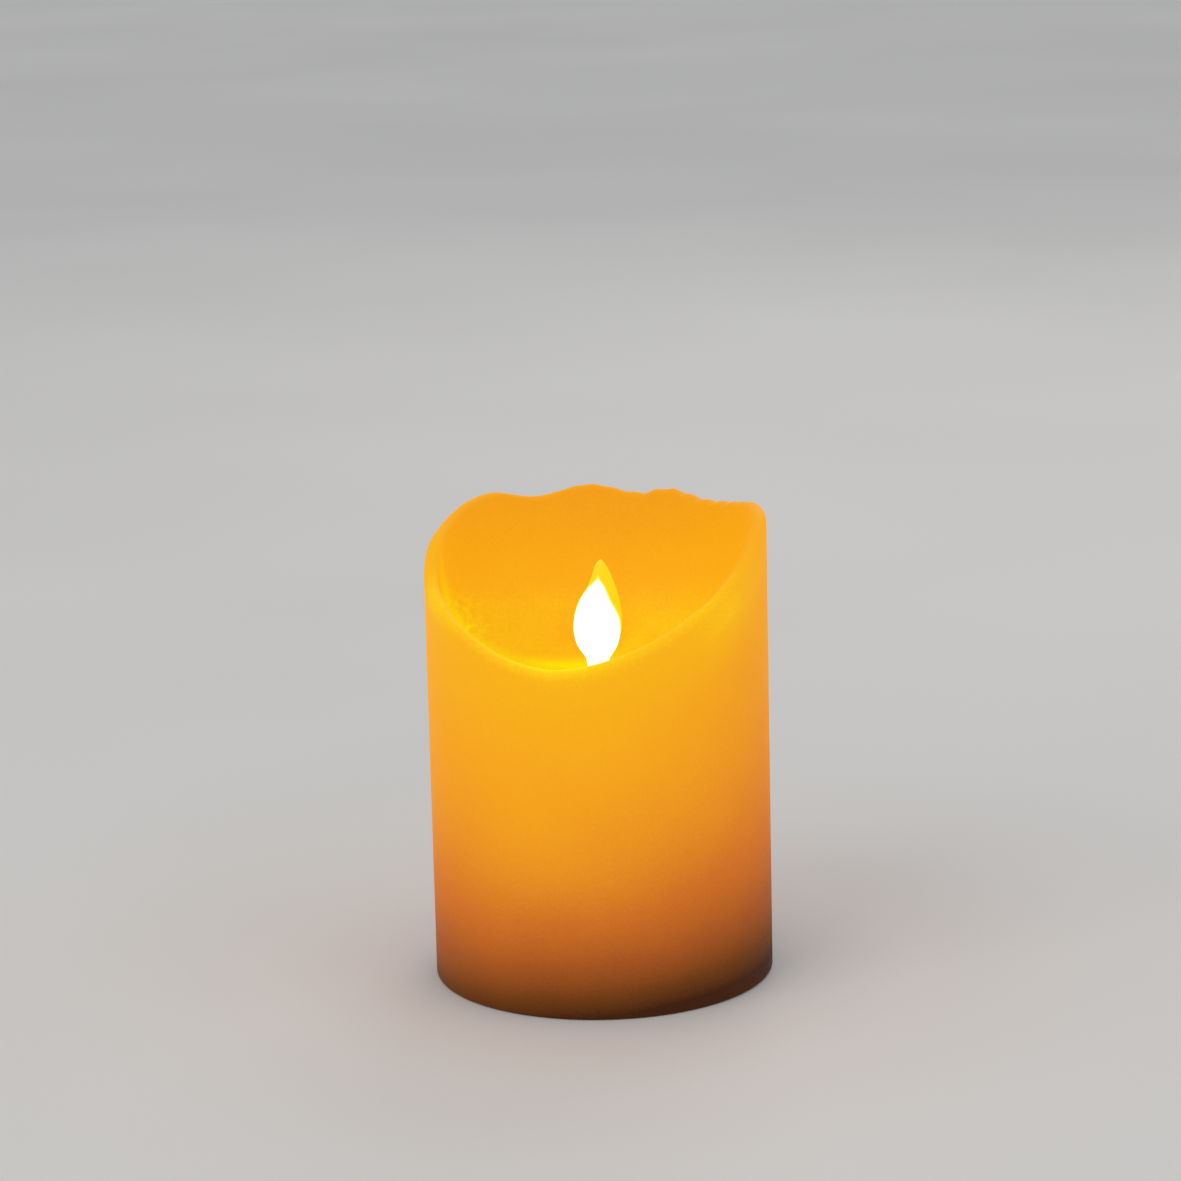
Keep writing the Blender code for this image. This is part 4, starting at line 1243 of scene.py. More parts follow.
    def crest_glow(self, radius: float, azimuth: float, height: float) -> float:
        """Adds the extra light in the thin wax round the lip, strongest at its lowest part.

        Args:
            radius: The place's radius.
            azimuth: Its azimuth.
            height: Its height.

        Returns:
            The extra glow level.
        """
        depth, beyond = self.rim(azimuth) - height, radius - self.crest_radius
        inside = beyond < 0
        lowness = max(0.0, 1 - (self.rim(azimuth) - self.lip_low) / 26)
        broad = math.hypot(beyond + 0.6, depth) / (3.4 if inside else 2.4)
        narrow = math.hypot(beyond + 1.2, depth - 0.9) / 1.35
        level = 0.055 * lowness * math.exp(-(broad**2)) + self.lip_glow.level(azimuth) * math.exp(-(narrow**2))
        return level if inside else level + sum(patch.level(azimuth, depth) for patch in self.wall_patches)

    def highlight_streaks(self, radius: float, azimuth: float, height: float) -> float:
        """Says how much the painted streaky highlights show, low on the left wall of the bowl.

        Args:
            radius: The place's radius.
            azimuth: Its azimuth.
            height: Its height.

        Returns:
            Their strength.
        """
        # The painted highlights lie only inside the bowl's mouth, above its floor.
        if radius > self.mouth_radius + 0.6 or height < self.dish_floor:
            return 0.0
        return self.highlight_patch.level(azimuth) * math.exp(-(((height - self.highlight_height) / self.highlight_reach) ** 2))

    def build(self) -> None:
        """Turns the section, lifts it to the rim and stores the glow on its points."""
        wax = Bench.turned("wax_body", self.profile(), self.steps, closed=True)
        names = ("dish", "dish_glow", "crest_glow", "highlight_streaks")
        for name in names:
            wax.data.attributes.new(name, "FLOAT", "POINT")
        layers = [wax.data.attributes[name] for name in names]
        for vertex in wax.data.vertices:
            for layer, value in zip(layers, self.place(vertex)):
                layer.data[vertex.index].value = value
        Bench.finish(wax, WAX, Body.CANDLE, "wax_shell", sharp=50)


# ------------------------------------------------------------------ flame


def along(outline: Outline, height: float) -> tuple[float, float]:
    """Reads an outline's left and right edge at a height, with a smooth curve through its stops.

    Args:
        outline: Height, left and right of each stop, from the lowest up.
        height: Where to read it.

    Returns:
        Left and right, in the outline's own unit.
    """
    last = len(outline) - 2
    index = max(0, min(last, sum(stop[0] <= height for stop in outline) - 1))
    start, end = outline[index], outline[index + 1]
    before, after = outline[max(0, index - 1)], outline[min(last + 1, index + 2)]
    span = end[0] - start[0]
    share = max(0.0, min(1.0, (height - start[0]) / span))
    square, cube = share**2, share**3
    edges = []
    for side in (1, 2):
        leave = span * (end[side] - before[side]) / (end[0] - before[0])
        arrive = span * (after[side] - start[side]) / (after[0] - start[0])
        edges.append(
            (2 * cube - 3 * square + 1) * start[side] + (cube - 2 * square + share) * leave
            + (3 * square - 2 * cube) * end[side] + (cube - square) * arrive
        )
    return edges[0], edges[1]


@dataclass
class FlameUnit:
    """The swinging flame: leaf, stem with its eye, magnet cup and magnet, and the wire it hangs on.

    Sizes in millimetres. An outline's stops are height, left and right, from the lowest up.
    """

    pivot: float = 57.0
    foot: float = 65.4
    belly: float = 78.0
    tip: float = 92.9
    stem_half_width: float = 2.1
    thickness: float = 0.75
    magnet_radius: float = 3.0
    magnet_low: float = 35.0
    magnet_high: float = 38.2
    edge: Outline = (
        (65.4, -2.0, 2.0), (69.0, -2.2, 2.3), (70.8, -2.5, 2.8), (72.0, -3.3, 3.7), (73.8, -4.4, 4.6),
        (76.6, -5.05, 5.3), (78.4, -5.05, 5.5), (81.1, -4.65, 5.5), (83.8, -3.65, 5.1), (86.6, -1.95, 4.35),
        (88.8, -0.95, 3.6), (90.8, -0.35, 2.75), (92.0, 0.2, 2.05), (92.9, 1.1, 1.3),
    )
    core: Outline = (
        (65.4, -2.2, 2.2), (70.8, -2.6, 2.9), (73.8, -4.5, 4.6), (76.6, -5.0, 5.1), (78.4, -5.0, 5.0),
        (80.0, -4.8, 4.7), (81.6, -4.4, 4.0), (83.6, -3.6, 2.95), (85.2, -2.6, 2.3), (86.9, -1.2, 1.6),
        (88.6, 0.45, 0.55), (92.9, 2.0, -1.0),
    )

    def leaf(self) -> None:
        """Shapes a ball into the flat, leaning teardrop and stores how hot each point is."""
        Bench.clear()
        bpy.ops.mesh.primitive_uv_sphere_add(segments=96, ring_count=72, radius=1)
        leaf = bpy.context.active_object
        leaf.name = "flame_leaf"
        layer = leaf.data.attributes.new("core", "FLOAT", "POINT")
        for vertex in leaf.data.vertices:
            across, out, up = vertex.co
            height = self.foot + (self.tip - self.foot) * (up + 1) / 2
            ring = max(1e-6, math.hypot(across, out))
            left, right = along(self.edge, height)
            closing = math.sqrt(max(0.0, 1 - max(0.0, (abs(up) - 0.97) / 0.03) ** 2))
            half = (right - left) / 2 * closing
            x = (left + right) / 2 + half * across / ring
            climb = max(0.0, (height - self.belly) / (self.tip - self.belly))
            thick = self.thickness * (1 - 0.45 * climb) * min(1.0, half / 1.2)
            bow = 0.35 * math.sin((height - self.foot) / 8.5)
            vertex.co = Vector((x, thick * out / ring + bow, height)) * MM
            hot_left, hot_right = along(self.core, height)
            layer.data[vertex.index].value = max(0.0, min(1.0, 0.5 + min(x - hot_left, hot_right - x) / 1.2))
        Bench.finish(leaf, LEAF, Body.FLAME, "flame", sharp=80)

    def stem(self) -> None:
        """Joins stem, pivot eye and magnet cup into one moulding."""
        half = self.stem_half_width
        stem = Bench.box("flame_stem", (-half, -0.6, 39.0), (half, 0.6, self.foot + 2.6), 0.2)
        rounding = [(0.75, 1.2), (2.9, 1.2), (3.1, 1.0), (3.1, -1.0), (2.9, -1.2), (0.75, -1.2)]
        eye = Bench.turned("eye", rounding, 48, closed=True)
        Bench.aimed(eye, (0, 0, self.pivot), (0, 1, 0))
        bore = Bench.turned("bore", [(0, 3), (0.75, 3), (0.75, -3), (0, -3)], 32)
        Bench.aimed(bore, (0, 0, self.pivot), (0, 1, 0))
        radius, low, high = self.magnet_radius, self.magnet_low + 0.4, self.magnet_high
        cup = Bench.turned(
            "cup",
            [(0, 40.0), (radius + 0.5, 40.0), (radius + 0.9, 39.6), (radius + 0.9, low + 0.2), (radius + 0.7, low),
             (radius + 0.3, low), (radius + 0.3, high + 0.3), (0, high + 0.3)],
            48,
        )
        Bench.carve(stem, bore)
        Bench.carve(stem, eye, "UNION")
        Bench.carve(stem, cup, "UNION")
        Bench.finish(stem, STEM, Body.FLAME, "flame")

    def build(self) -> None:
        """Builds the flame and its works."""
        self.leaf()
        self.stem()
        radius, low, high = self.magnet_radius, self.magnet_low, self.magnet_high
        inset = radius - 0.25
        disc = [(0, high), (inset, high), (radius, high - 0.25), (radius, low + 0.25), (inset, low), (0, low)]
        magnet = Bench.turned("magnet_disc", disc)
        Bench.finish(magnet, NICKEL, Body.FLAME, "flame_magnet")
        pin = [(0, 9.7), (0.25, 9.7), (0.35, 9.55), (0.35, -9.55), (0.25, -9.7), (0, -9.7)]
        wire = Bench.turned("pivot_pin", pin, 24)
        Bench.aimed(wire, (0, 0, self.pivot), (0, 1, 0))
        Bench.finish(wire, STEEL, Body.CANDLE, "pivot_wire")


# ------------------------------------------------------------------ fasteners and lamps


@dataclass
class Screw:
    """A pan-head screw with a cross recess and a cut thread. Sizes in millimetres."""

    head_radius: float = 2.2
    head_height: float = 1.4
    head_crown: float = 0.55
    shank_radius: float = 1.0
    pitch: float = 0.6
    thread_depth: float = 0.22
    recess_reach: float = 1.25
    recess_width: float = 0.27
    recess_depth: float = 0.75

    def make(self, name: str, node: str, head: Point, tip: Point) -> None:
        """Builds one screw from the top of its head to its tip.

        Args:
            name: The piece's name.
            node: The solid that it stands for.
            head: Middle of the head's top.
            tip: The screw's tip.
        """
        length = (Vector(tip) - Vector(head)).length
        profile = [(0, 0)]
        for index in range(1, 7):
            turn = math.pi / 2 * index / 6
            profile.append((self.head_radius * math.sin(turn), -self.head_crown * (1 - math.cos(turn))))
        profile += [(self.head_radius, -self.head_height), (self.shank_radius, -self.head_height)]
        level = self.head_height + 0.5
        while level < length - 1.3:
            profile += [(self.shank_radius, -level), (self.shank_radius - self.thread_depth, -level - self.pitch / 2)]
            level += self.pitch
        profile += [(self.shank_radius - 0.1, 1.0 - length), (0.15, -length), (0, -length)]
        screw = Bench.turned(name, profile, 32)
        reach, width = self.recess_reach, self.recess_width
        for wide, deep in ((reach, width), (width, reach)):
            Bench.carve(screw, Bench.box("driver", (-wide, -deep, -self.recess_depth), (wide, deep, 1)))
        Bench.aimed(screw, head, tuple(Vector(head) - Vector(tip)))
        Bench.finish(screw, STEEL, Body.CANDLE, node)


@dataclass
class Lamp:
    """A domed LED. Sizes in millimetres."""

    radius: float
    length: float
    finish: Finish
    leg_spacing: float = 1.8
    leg_half_width: float = 0.22

    def make(self, name: str, node: str, foot: Point, aim: Point) -> None:
        """Builds the lens and its two legs.

        Args:
            name: The piece's name.
            node: The solid that it stands for.
            foot: Middle of the flange's underside.
            aim: Which way it points.
        """
        radius, rim, skirt = self.radius, self.radius * 1.16, 0.17 * self.length
        turns = [math.pi / 2 * index / 12 for index in range(13)]
        dome = [(radius * math.sin(turn), self.length - radius + radius * math.cos(turn)) for turn in turns]
        flange = [
            (radius, skirt + 0.1), (radius + 0.1, skirt), (rim - 0.1, skirt), (rim, skirt - 0.1), (rim, 0.1),
            (rim - 0.1, 0), (0, 0),
        ]
        lens = Bench.turned(name, [*dome, *flange], 48)
        Bench.aimed(lens, foot, aim)
        Bench.finish(lens, self.finish, Body.CANDLE, node)
        legs, half = [], self.leg_half_width
        for side in (-1, 1):
            middle = side * self.leg_spacing / 2
            leg = Bench.box("leg", (middle - half, -half, -1.15), (middle + half, half, 0.3), 0.06)
            legs.append(Bench.aimed(leg, foot, aim))
        Bench.finish(Bench.joined(name + "_legs", legs), SOLDER, Body.CANDLE)


# ------------------------------------------------------------------ works


@dataclass
class FlameHousing:
    """The two housing halves, the ring in the dish, the drive coil, the flame LEDs and their leads."""

    frame: Frame
    ring_top: float = 65.2
    ring_seat: float = 64.3
    coil_foot: float = 23.5
    led_tilt: float = 10.0

    def ring(self) -> None:
        """Turns the trim ring that sits in the dish's floor."""
        top, seat = self.ring_top, self.ring_seat
        profile = [
            (7.4, seat), (7.4, top - 0.3), (7.5, top - 0.1), (7.8, top), (10.7, top), (11.0, top - 0.1),
            (11.1, top - 0.3), (11.1, seat), (9.6, seat), (9.6, 61.4), (9.1, 61.4), (9.1, seat),
        ]
        ring = Bench.turned("dish_ring", profile, 96, closed=True)
        Bench.finish(ring, IVORY, Body.CANDLE, "flame_collar")

    def coil(self) -> None:
        """Turns the bobbin and the winding, whose outer face shows its turns."""
        foot = self.coil_foot
        spool = [
            (1.6, 0.2), (1.6, 8.8), (1.8, 9), (7.8, 9), (8, 8.8), (8, 8.1), (2.8, 8.1), (2.8, 0.9), (8, 0.9), (8, 0.2),
            (7.8, 0), (1.8, 0),
        ]
        bobbin = Bench.turned("coil_former", [(radius, foot + up) for radius, up in spool], 72, closed=True)
        Bench.finish(bobbin, BLACK, Body.CANDLE, "coil_bobbin")
        turns, low, high = 22, foot + 1.2, foot + 7.8
        pitch = (high - low) / turns
        face = []
        for turn in range(turns):
            for step in range(4):
                angle = math.pi * step / 4
                face.append((7.35 + 0.14 * math.sin(angle), high - pitch * (turn + step / 4)))
        winding = Bench.turned("copper_winding", [(3.1, low), (3.1, high), *face, (7.35, low)], 72, closed=True)
        Bench.finish(winding, COPPER, Body.CANDLE, "drive_coil", sharp=60)

    def build(self) -> None:
        """Builds the housing and what it holds."""
        self.ring()
        self.coil()
        self.frame.refined_set(
            WHITE, 0.15, {"housing_front": "housing_shell_front", "housing_rear": "housing_shell_rear"}
        )
        lamp = Lamp(2.5, 8.6, FLAME_LED)
        tilt = math.radians(self.led_tilt)
        for word, side in (("front", -1), ("rear", 1)):
            aim = (0.0, -side * math.sin(tilt), math.cos(tilt))
            lamp.make(f"flame_lamp_{word}", f"flame_led_{word}", (0, side * 6.0, 46.9), aim)
            self.frame.refined(f"flame_led_{word}_lead", f"lamp_lead_{word}", CLEAR, Body.CANDLE, sharp=ROUND_EDGE)
        clamp = Screw(head_height=1.3)
        for word, side in (("left", -1), ("right", 1)):
            clamp.make(f"clamp_bolt_{word}", f"clamp_screw_{word}", (side * 15, -5.1, 41), (side * 15, 3.0, 41))
        for word, x, y in (("left", -17.5, -6.0), ("right", 17.5, 6.0)):
            Screw().make(f"module_bolt_{word}", f"module_screw_{word}", (x, y, 27.2), (x, y, 19.4))


@dataclass(frozen=True)
class BandedLacquer(Finish):
    """A resistor's tan lacquer with its painted bands.

    Attributes:
        middle: The body's middle along X, in metres.
        bands: The bands' colours, from left to right.
    """

    middle: float
    bands: tuple[Colour, ...]

    def make(self) -> bpy.types.Material:
        """Lays out the bands along the body."""
        bench = ShaderBench(self.name, 0.32)
        across, _depth, _up = bench.axes()
        along = bench.math("MULTIPLY_ADD", bench.math("SUBTRACT", across, self.middle), 1 / (4.2 * MM), 0.5)
        along = bench.math("MULTIPLY_ADD", bench.noise(2000, 2.0), 0.01, along)
        tan, tin = srgb(206, 178, 132), srgb(196, 196, 190)
        stops = [(0.0, tin), (0.05, tan)]
        for index, colour in enumerate(self.bands):
            start = 0.2 + 0.17 * index
            stops += [(start, colour), (start + 0.07, tan)]
        colour = bench.ramp(along, [*stops, (0.95, tin)])
        colour.node.color_ramp.interpolation = "CONSTANT"
        bench.link(colour, "Base Color")
        bench.constant("Coat Weight", 0.5)
        bench.bump(bench.noise(1500, 2.0), 0.01 * MM, 0.4)
        return bench.material


@dataclass
class ControlBoard:
    """The board and the parts soldered to it. Sizes in millimetres."""

    frame: Frame
    seat: float = 23.5
    leg_tip: float = 22.9
    resistor_y: float = -12.9

    def chip(self) -> None:
        """Builds the controller's case, with its key dimple, and its gull-wing legs."""
        low, high = Frame.box("controller_chip")
        case = Bench.box("chip_case", tuple(low), tuple(high), 0.12)
        dimple = Bench.turned("dimple", [(0, 1), (0.35, 1), (0.35, -0.1), (0, -0.15)], 24)
        Bench.aimed(dimple, (low.x + 0.8, low.y + 0.8, high.z))
        Bench.carve(case, dimple)
        Bench.finish(case, BLACK, Body.CANDLE, "controller_chip")
        legs = []
        wing = ((-0.2, 0.55, 0.6, 0.78), (0.4, 0.58, -0.2, 0.7), (0.45, 1.15, -0.28, -0.1))
        for index in range(4):
            x = low.x + 0.7 + index * 1.2
            for edge, out in ((low.y, -1), (high.y, 1)):
                for start, end, foot, top in wing:
                    near, far = sorted((edge + out * start, edge + out * end))
                    legs.append(Bench.box("leg", (x - 0.2, near, low.z + foot), (x + 0.2, far, low.z + top), 0.04))
        Bench.finish(Bench.joined("chip_legs", legs), SOLDER, Body.CANDLE)

    def capacitor(self) -> None:
        """Turns the electrolytic can in its sleeve, with the vent cross on top."""
        low, high = Frame.box("capacitor")
        height, radius = high.z - low.z, (high.x - low.x) / 2
        top = [(0.9, 0.25), (0.7, 0.05), (0.4, 0), (0.1, 0.15), (0, 0.45)]
        waist = [(0, 1.7), (0.08, 1.5), (0.28, 1.3), (0.08, 1.1), (0, 0.9), (0, 0.2), (0.2, 0)]
        profile = [(0, height - 0.25), *((radius - inset, height - drop) for inset, drop in top)]
        profile += [*((radius - inset, up) for inset, up in waist), (0, 0)]
        can = Bench.turned("capacitor_can", profile, 64)
        for wide, deep in ((1.6, 0.09), (0.09, 1.6)):
            Bench.carve(can, Bench.box("vent", (-wide, -deep, height - 0.4), (wide, deep, height + 1)))
        middle = (low + high) / 2
        Bench.aimed(can, (middle.x, middle.y, low.z))
        Bench.finish(can, BLACK, Body.CANDLE, "capacitor")

    def crystal(self) -> list[bpy.types.Object]:
        """Builds the crystal's can, lying along X, and returns its wires."""
        seat, axis = self.seat, self.seat + 1
        profile = [(0, 3), (0.8, 3), (1, 2.8), (1, -2.6), (1.0, -2.9), (0.85, -3), (0, -3)]
        can = Bench.aimed(Bench.turned("crystal_can", profile, 40), (-6, 12.9, axis), (1, 0, 0))
        Bench.finish(can, NICKEL, Body.CANDLE, "timer_crystal")
        wires = []
        for y in (12.5, 13.3):
            route = [(-9.0, y, axis), (-9.6, y, axis), (-9.9, y, seat + 0.7), (-9.9, y, self.leg_tip)]
            wires.append(Bench.wire("leg", route, 0.16))
        return wires

    def transistor(self) -> list[bpy.types.Object]:
        """Builds the transistor's case and returns its legs."""
        self.frame.refined("drive_transistor", "transistor_case", BLACK, Body.CANDLE, 0.12)
        return [
            Bench.box("leg", (x - 0.2, 12.3, self.leg_tip), (x + 0.2, 12.7, self.seat + 0.2), 0.05)
            for x in (4.8, 6.0, 7.2)
        ]

    def resistor(self, node: str, x: float, bands: tuple[Colour, ...]) -> list[bpy.types.Object]:
        """Builds one banded resistor, lying along X.

        Args:
            node: The solid that it stands for.
            x: Its middle along X.
            bands: Its bands' colours, from left to right.

        Returns:
            Its two bent wires.
        """
        y, axis = self.resistor_y, self.seat + 1
        half = [(0, 2.1), (0.45, 2.1), (0.75, 1.95), (0.9, 1.6), (0.88, 1.2), (0.76, 0.9)]
        profile = [*half, *((radius, -up) for radius, up in reversed(half))]
        body = Bench.turned(node.replace("resistor", "resistor_body"), profile, 40)
        Bench.aimed(body, (x, y, axis), (1, 0, 0))
        Bench.finish(body, BandedLacquer(f"lacquer_{node}", Slot.WHITE, x * MM, bands), Body.CANDLE, node)
        wires = []
        for side in (-1, 1):
            bend, down = x + side * 3.3, x + side * 3.6
            route = [(x + side * 2.0, y, axis), (bend, y, axis), (down, y, self.seat + 0.7), (down, y, self.leg_tip)]
            wires.append(Bench.wire("leg", route, 0.22))
        return wires

    def small_parts(self) -> None:
        """Builds the crystal, the transistor, the resistors and their legs."""
        brown, black, red, gold = srgb(110, 60, 28), srgb(24, 22, 22), srgb(190, 40, 30), srgb(196, 158, 70)
        wires = self.crystal()
        legs = [*self.transistor(), *wires]
        legs += self.resistor("flame_led_resistor", -6.0, (brown, black, brown, gold))
        legs += self.resistor("body_led_resistor", 6.0, (red, red, brown, gold))
        Bench.finish(Bench.joined("component_legs", legs), SOLDER, Body.CANDLE)

    def solder(self) -> None:
        """Sets a solder cone at each place where a leg or a wire meets the board."""
        places = [(x, self.resistor_y) for x in (-9.6, -2.4, 2.4, 9.6)] + [(x, 12.5) for x in (-9.9, 4.8, 6, 7.2)]
        places += [(-9.9, 13.3), (11.6, 13.6), (-21.0, -1.0)]
        profile = [(0, 0.62), (0.22, 0.58), (0.3, 0.4), (0.45, 0.15), (0.65, 0), (0.6, -0.1), (0, -0.1)]
        cones = [Bench.aimed(Bench.turned("cone", profile, 20), (x, y, self.seat - 0.3)) for x, y in places]
        Bench.finish(Bench.joined("solder_joints", cones), SOLDER, Body.CANDLE)

    def build(self) -> None:
        """Builds the board's parts."""
        self.frame.refined("circuit_board", "board_panel", BOARD, Body.CANDLE, 0.08)
        self.chip()
        self.capacitor()
        self.small_parts()
        self.solder()
        lamp = Lamp(1.5, 5.2, BODY_LED)
        for word, x, y in (("left", -17.4, 9.4), ("right", 17.4, -9.4)):
            lamp.make(f"body_lamp_{word}", f"body_led_{word}", (x, y, self.seat + 2), (math.copysign(0.25, x), 0, 1))


# ------------------------------------------------------------------ base


@dataclass
class BatteryPack:
    """The two cells, their contacts and the wires. Sizes in millimetres."""

    frame: Frame
    cell_y: float = 7.3
    cell_z: float = 10.5
    cell_radius: float = 7.1
    cell_length: float = 50.0
    end_x: float = 26.2

    def cell(self, name: str, node: str, y: float, facing: int, finish: Finish) -> None:
        """Turns one cell with its nub, its crimped rim and its rolled foot.

        Args:
            name: The piece's name.
            node: The solid that it stands for.
            y: Its place across the tray.
            facing: 1 if its positive end is towards +X, or -1.
            finish: Its film.
        """
        radius, length = self.cell_radius, self.cell_length
        body = length - 1.2
        nub = [(0, length), (2.3, length), (2.6, length - 0.2), (2.7, length - 0.9)]
        crimp = [(2.9, body - 0.1), (4.6, body - 0.25), (5.3, body - 0.05), (6.5, body), (6.9, body - 0.15)]
        side = [(radius, body - 0.5), (radius, 0.6)]
        foot = [(6.9, 0.2), (6.4, 0), (5.4, 0), (5.0, 0.25), (0, 0.25)]
        cell = Bench.turned(name, [*nub, *crimp, *side, *foot], 72)
        Bench.aimed(cell, (facing * (self.end_x - length), y, self.cell_z), (facing, 0, 0))
        Bench.finish(cell, finish, Body.CANDLE, node)

    def spring(self, name: str, node: str, y: float, facing: int) -> None:
        """Winds one conical contact spring.

        Args:
            name: The piece's name.
            node: The solid that it stands for.
            y: Its place across the tray.
            facing: Which end of the tray it is at, -1 or 1 along X.
        """
        turns, steps, start, end = 3, 36, 24.35, 26.0
        route = []
        for step in range(turns * steps + 1):
            share = step / (turns * steps)
            angle = math.tau * turns * share
            radius = 1.7 + 1.7 * share
            x = facing * (start + (end - start) * share)
            route.append((x, y + radius * math.cos(angle), self.cell_z + radius * math.sin(angle)))
        Bench.finish(Bench.wire(name, route, 0.25, 4), SPRING, Body.CANDLE, node, sharp=60)

    def build(self) -> None:
        """Builds cells, contacts and wires."""
        self.cell("cell_front", "battery_front", -self.cell_y, -1, CELL_LEFT)
        self.cell("cell_rear", "battery_rear", self.cell_y, 1, CELL_RIGHT)
        self.spring("bridge_coil", "bridge_spring", -self.cell_y, 1)
        self.spring("negative_coil", "negative_spring", self.cell_y, -1)
        plates = {
            "bridge_contact": "bridge_plate",
            "positive_terminal": "positive_plate",
            "negative_terminal": "negative_plate",
        }
        self.frame.refined_set(NICKEL, 0.08, plates)
        self.frame.refined_set(RED, 0.0, {"supply_wire": "supply_lead", "switch_wire": "switch_lead"})
        self.frame.refined_set(DARK, 0.0, {"return_wire": "return_lead"})


@dataclass
class BatteryBase:
    """The tray, deck, door, switch and screws, with the marks on the underside. Sizes in millimetres."""

    frame: Frame
    underside: float = 1.0
    knob_x: float = -2.0
    switch_y: float = 22.8
    letter_size: float = 1.9
    letter_depth: float = 0.2

    def knob(self) -> None:
        """Builds the ribbed switch knob."""
        x, y = self.knob_x, self.switch_y
        knob = Bench.box("slide_knob", (x - 1.6, y - 1.5, 0.4), (x + 1.6, y + 1.5, 3.4), 0.22)
        for index in (-1, 0, 1):
            groove = Bench.box("groove", (x + index * 0.8 - 0.16, y - 2, 0), (x + index * 0.8 + 0.16, y + 2, 0.72))
            Bench.carve(knob, groove)
        tongue = Bench.box("tongue", (x - 1.2, y - 0.9, 2), (x + 1.2, y + 0.9, 5.4), 0.1)
        Bench.carve(knob, tongue, "UNION")
        Bench.finish(knob, BLACK, Body.KNOB, "switch_knob")

    def label(self, word: str, x: float, y: float) -> bpy.types.Object:
        """Raises a word from the underside, to be read from below.

        Args:
            word: A plain switch word.
            x: Its middle along X.
            y: Its middle along Y.

        Returns:
            The raised letters.
        """
        Bench.clear()
        bpy.ops.object.text_add(location=(x * MM, y * MM, self.underside * MM), rotation=(math.pi, 0, 0))
        text = bpy.context.active_object
        text.data.body = word
        text.data.size = self.letter_size * MM
        text.data.extrude = self.letter_depth * MM
        text.data.align_x = "CENTER"
        text.data.align_y = "CENTER"
        text.data.resolution_u = 3
        Bench.pick(text)
        bpy.ops.object.convert(target="MESH")
        return Bench.settle(bpy.context.active_object)

    def arrow(self) -> bpy.types.Object:
        """Returns the raised arrow that says which way the door opens."""
        Bench.clear()
        bpy.ops.mesh.primitive_cylinder_add(
            vertices=3, radius=1.7 * MM, depth=0.24 * MM, location=(18.6 * MM, 0, self.underside * MM)
        )
        arrow = bpy.context.active_object
        arrow.rotation_euler = (0, 0, -math.pi / 2)
        Bench.settle(arrow)
        Bench.round_edges(arrow, 0.06, 2)
        return arrow

    def build(self) -> None:
        """Builds the base."""
        self.frame.refined("base_tray", "tray_shell", IVORY, Body.CANDLE, 0.12)
        self.frame.refined("core_deck", "deck_plate", WHITE, Body.CANDLE, 0.12)
        self.frame.refined("battery_door", "door_panel", IVORY, Body.DOOR, 0.1)
        self.frame.refined("switch_body", "switch_can", STEEL, Body.CANDLE, 0.12)
        self.knob()
        words = (("ON", -5.9, self.switch_y), ("TIMER", 7.6, self.switch_y), ("OFF", 0, self.switch_y + 3.2))
        labels = [self.label(word, x, y) for word, x, y in words]
        Bench.finish(Bench.joined("switch_labels", labels), IVORY, Body.CANDLE)
        Bench.finish(self.arrow(), IVORY, Body.DOOR)
        for index, (x, y) in enumerate(((0, -23.6), (-15.5, 22.0), (15.5, 22.0)), start=1):
            Screw().make(f"base_bolt_{index}", f"base_screw_{index}", (x, y, 2.5), (x, y, 16.5))


# ------------------------------------------------------------------ studio


@dataclass(frozen=True)
class PaleBoard(Finish):
    """The plain pale floor."""

    def make(self) -> bpy.types.Material:
        """Lays out a nearly even pale grey."""
        bench = ShaderBench(self.name, 0.75)
        stops = [(0.3, srgb(214, 212, 208)), (0.7, srgb(220, 218, 214))]
        bench.link(bench.ramp(bench.noise(3.0, 2.0), stops), "Base Color")
        return bench.material


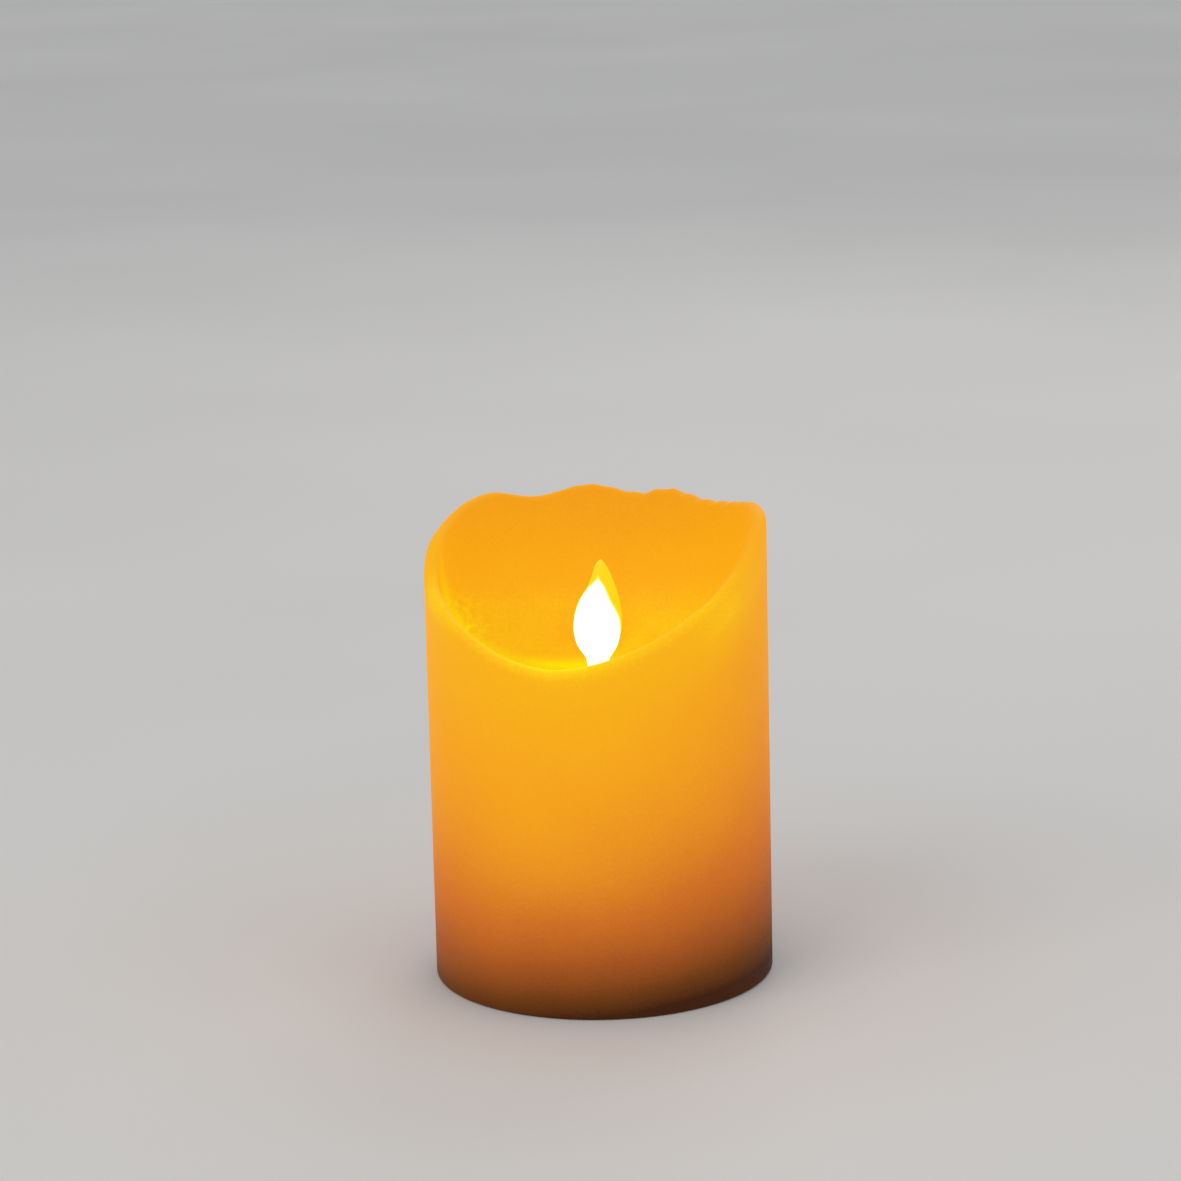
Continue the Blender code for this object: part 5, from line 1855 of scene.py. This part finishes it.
@dataclass
class Studio:
    """Floor, soft lights and the camera. Places and sizes in metres."""

    camera_place: Point = (-0.00117, -0.7901, 0.2637)
    camera_tilt: float = 12.68
    camera_roll: float = -1.39
    lens: float = 112.9
    daylight: float = 0.62
    floor_size: float = 60.0
    lit_height: float = 0.06
    lamps: tuple[tuple[str, Point, float, float, Colour], ...] = (
        ("key", (-0.7, -0.7, 1.0), 0.8, 3.5, (1.0, 0.97, 0.93)),
        ("fill", (0.9, -0.5, 0.7), 1.0, 1.5, (0.94, 0.97, 1.0)),
        ("rim", (0.3, 0.9, 0.8), 0.6, 1.5, (1.0, 0.98, 0.95)),
    )

    def floor(self) -> None:
        """Lays a wide pale floor with rounded corners, the same from every side."""
        Bench.clear()
        bpy.ops.mesh.primitive_plane_add(size=self.floor_size, location=(0, 0, 0))
        floor = bpy.context.active_object
        floor.name = "studio_floor"
        bpy.ops.object.mode_set(mode="EDIT")
        bpy.ops.mesh.select_all(action="SELECT")
        bpy.ops.mesh.bevel(offset=self.floor_size / 4, segments=8, affect="VERTICES")
        bpy.ops.object.mode_set(mode="OBJECT")
        floor.data.materials.append(PaleBoard("studio_board", Slot.IVORY).material())
        floor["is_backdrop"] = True

    def lamp(self, name: str, place: Point, size: float, power: float, tint: Colour) -> None:
        """Hangs one soft square light, aimed at the candle.

        Args:
            name: The light's name.
            place: Where it hangs.
            size: Its side.
            power: Its power in watts.
            tint: Its colour.
        """
        light = bpy.data.lights.new(name, "AREA")
        light.shape = "SQUARE"
        light.size = size
        light.energy = power
        light.color = tint
        lamp = bpy.data.objects.new(name, light)
        lamp.location = place
        aim = Vector((0, 0, self.lit_height)) - Vector(place)
        lamp.rotation_euler = aim.to_track_quat("-Z", "Y").to_euler()
        bpy.context.scene.collection.objects.link(lamp)

    def camera(self) -> None:
        """Sets the camera up at its place, tilt and roll."""
        data = bpy.data.cameras.new("camera")
        data.lens = self.lens
        data.clip_start = 0.01
        camera = bpy.data.objects.new("camera", data)
        camera.location = self.camera_place
        tilt = Matrix.Rotation(math.radians(90 - self.camera_tilt), 3, "X")
        roll = Matrix.Rotation(math.radians(self.camera_roll), 3, "Z")
        camera.rotation_euler = (tilt @ roll).to_euler()
        bpy.context.scene.collection.objects.link(camera)
        bpy.context.scene.camera = camera

    def build(self) -> None:
        """Sets the studio up."""
        self.floor()
        world = bpy.data.worlds.new("studio")
        world.use_nodes = True
        sky = world.node_tree.nodes["Background"]
        sky.inputs["Color"].default_value = (0.94, 0.96, 1.0, 1.0)
        sky.inputs["Strength"].default_value = self.daylight
        bpy.context.scene.world = world
        for name, place, size, power, tint in self.lamps:
            self.lamp(name, place, size, power, tint)
        self.camera()
        bpy.context.scene.view_settings.view_transform = "Standard"


def main() -> None:
    """Builds the candle, then the studio."""
    logging.basicConfig(level=logging.INFO, format="%(name)s: %(message)s")
    frame = Frame()
    works = [assembly(frame) for assembly in (FlameHousing, ControlBoard, BatteryPack, BatteryBase)]
    for assembly in (WaxBody(), FlameUnit(), *works):
        LOG.info("building %s", type(assembly).__name__)
        assembly.build()
    Studio().build()
    frame.write_sizes()


if __name__ == "__main__":
    main()
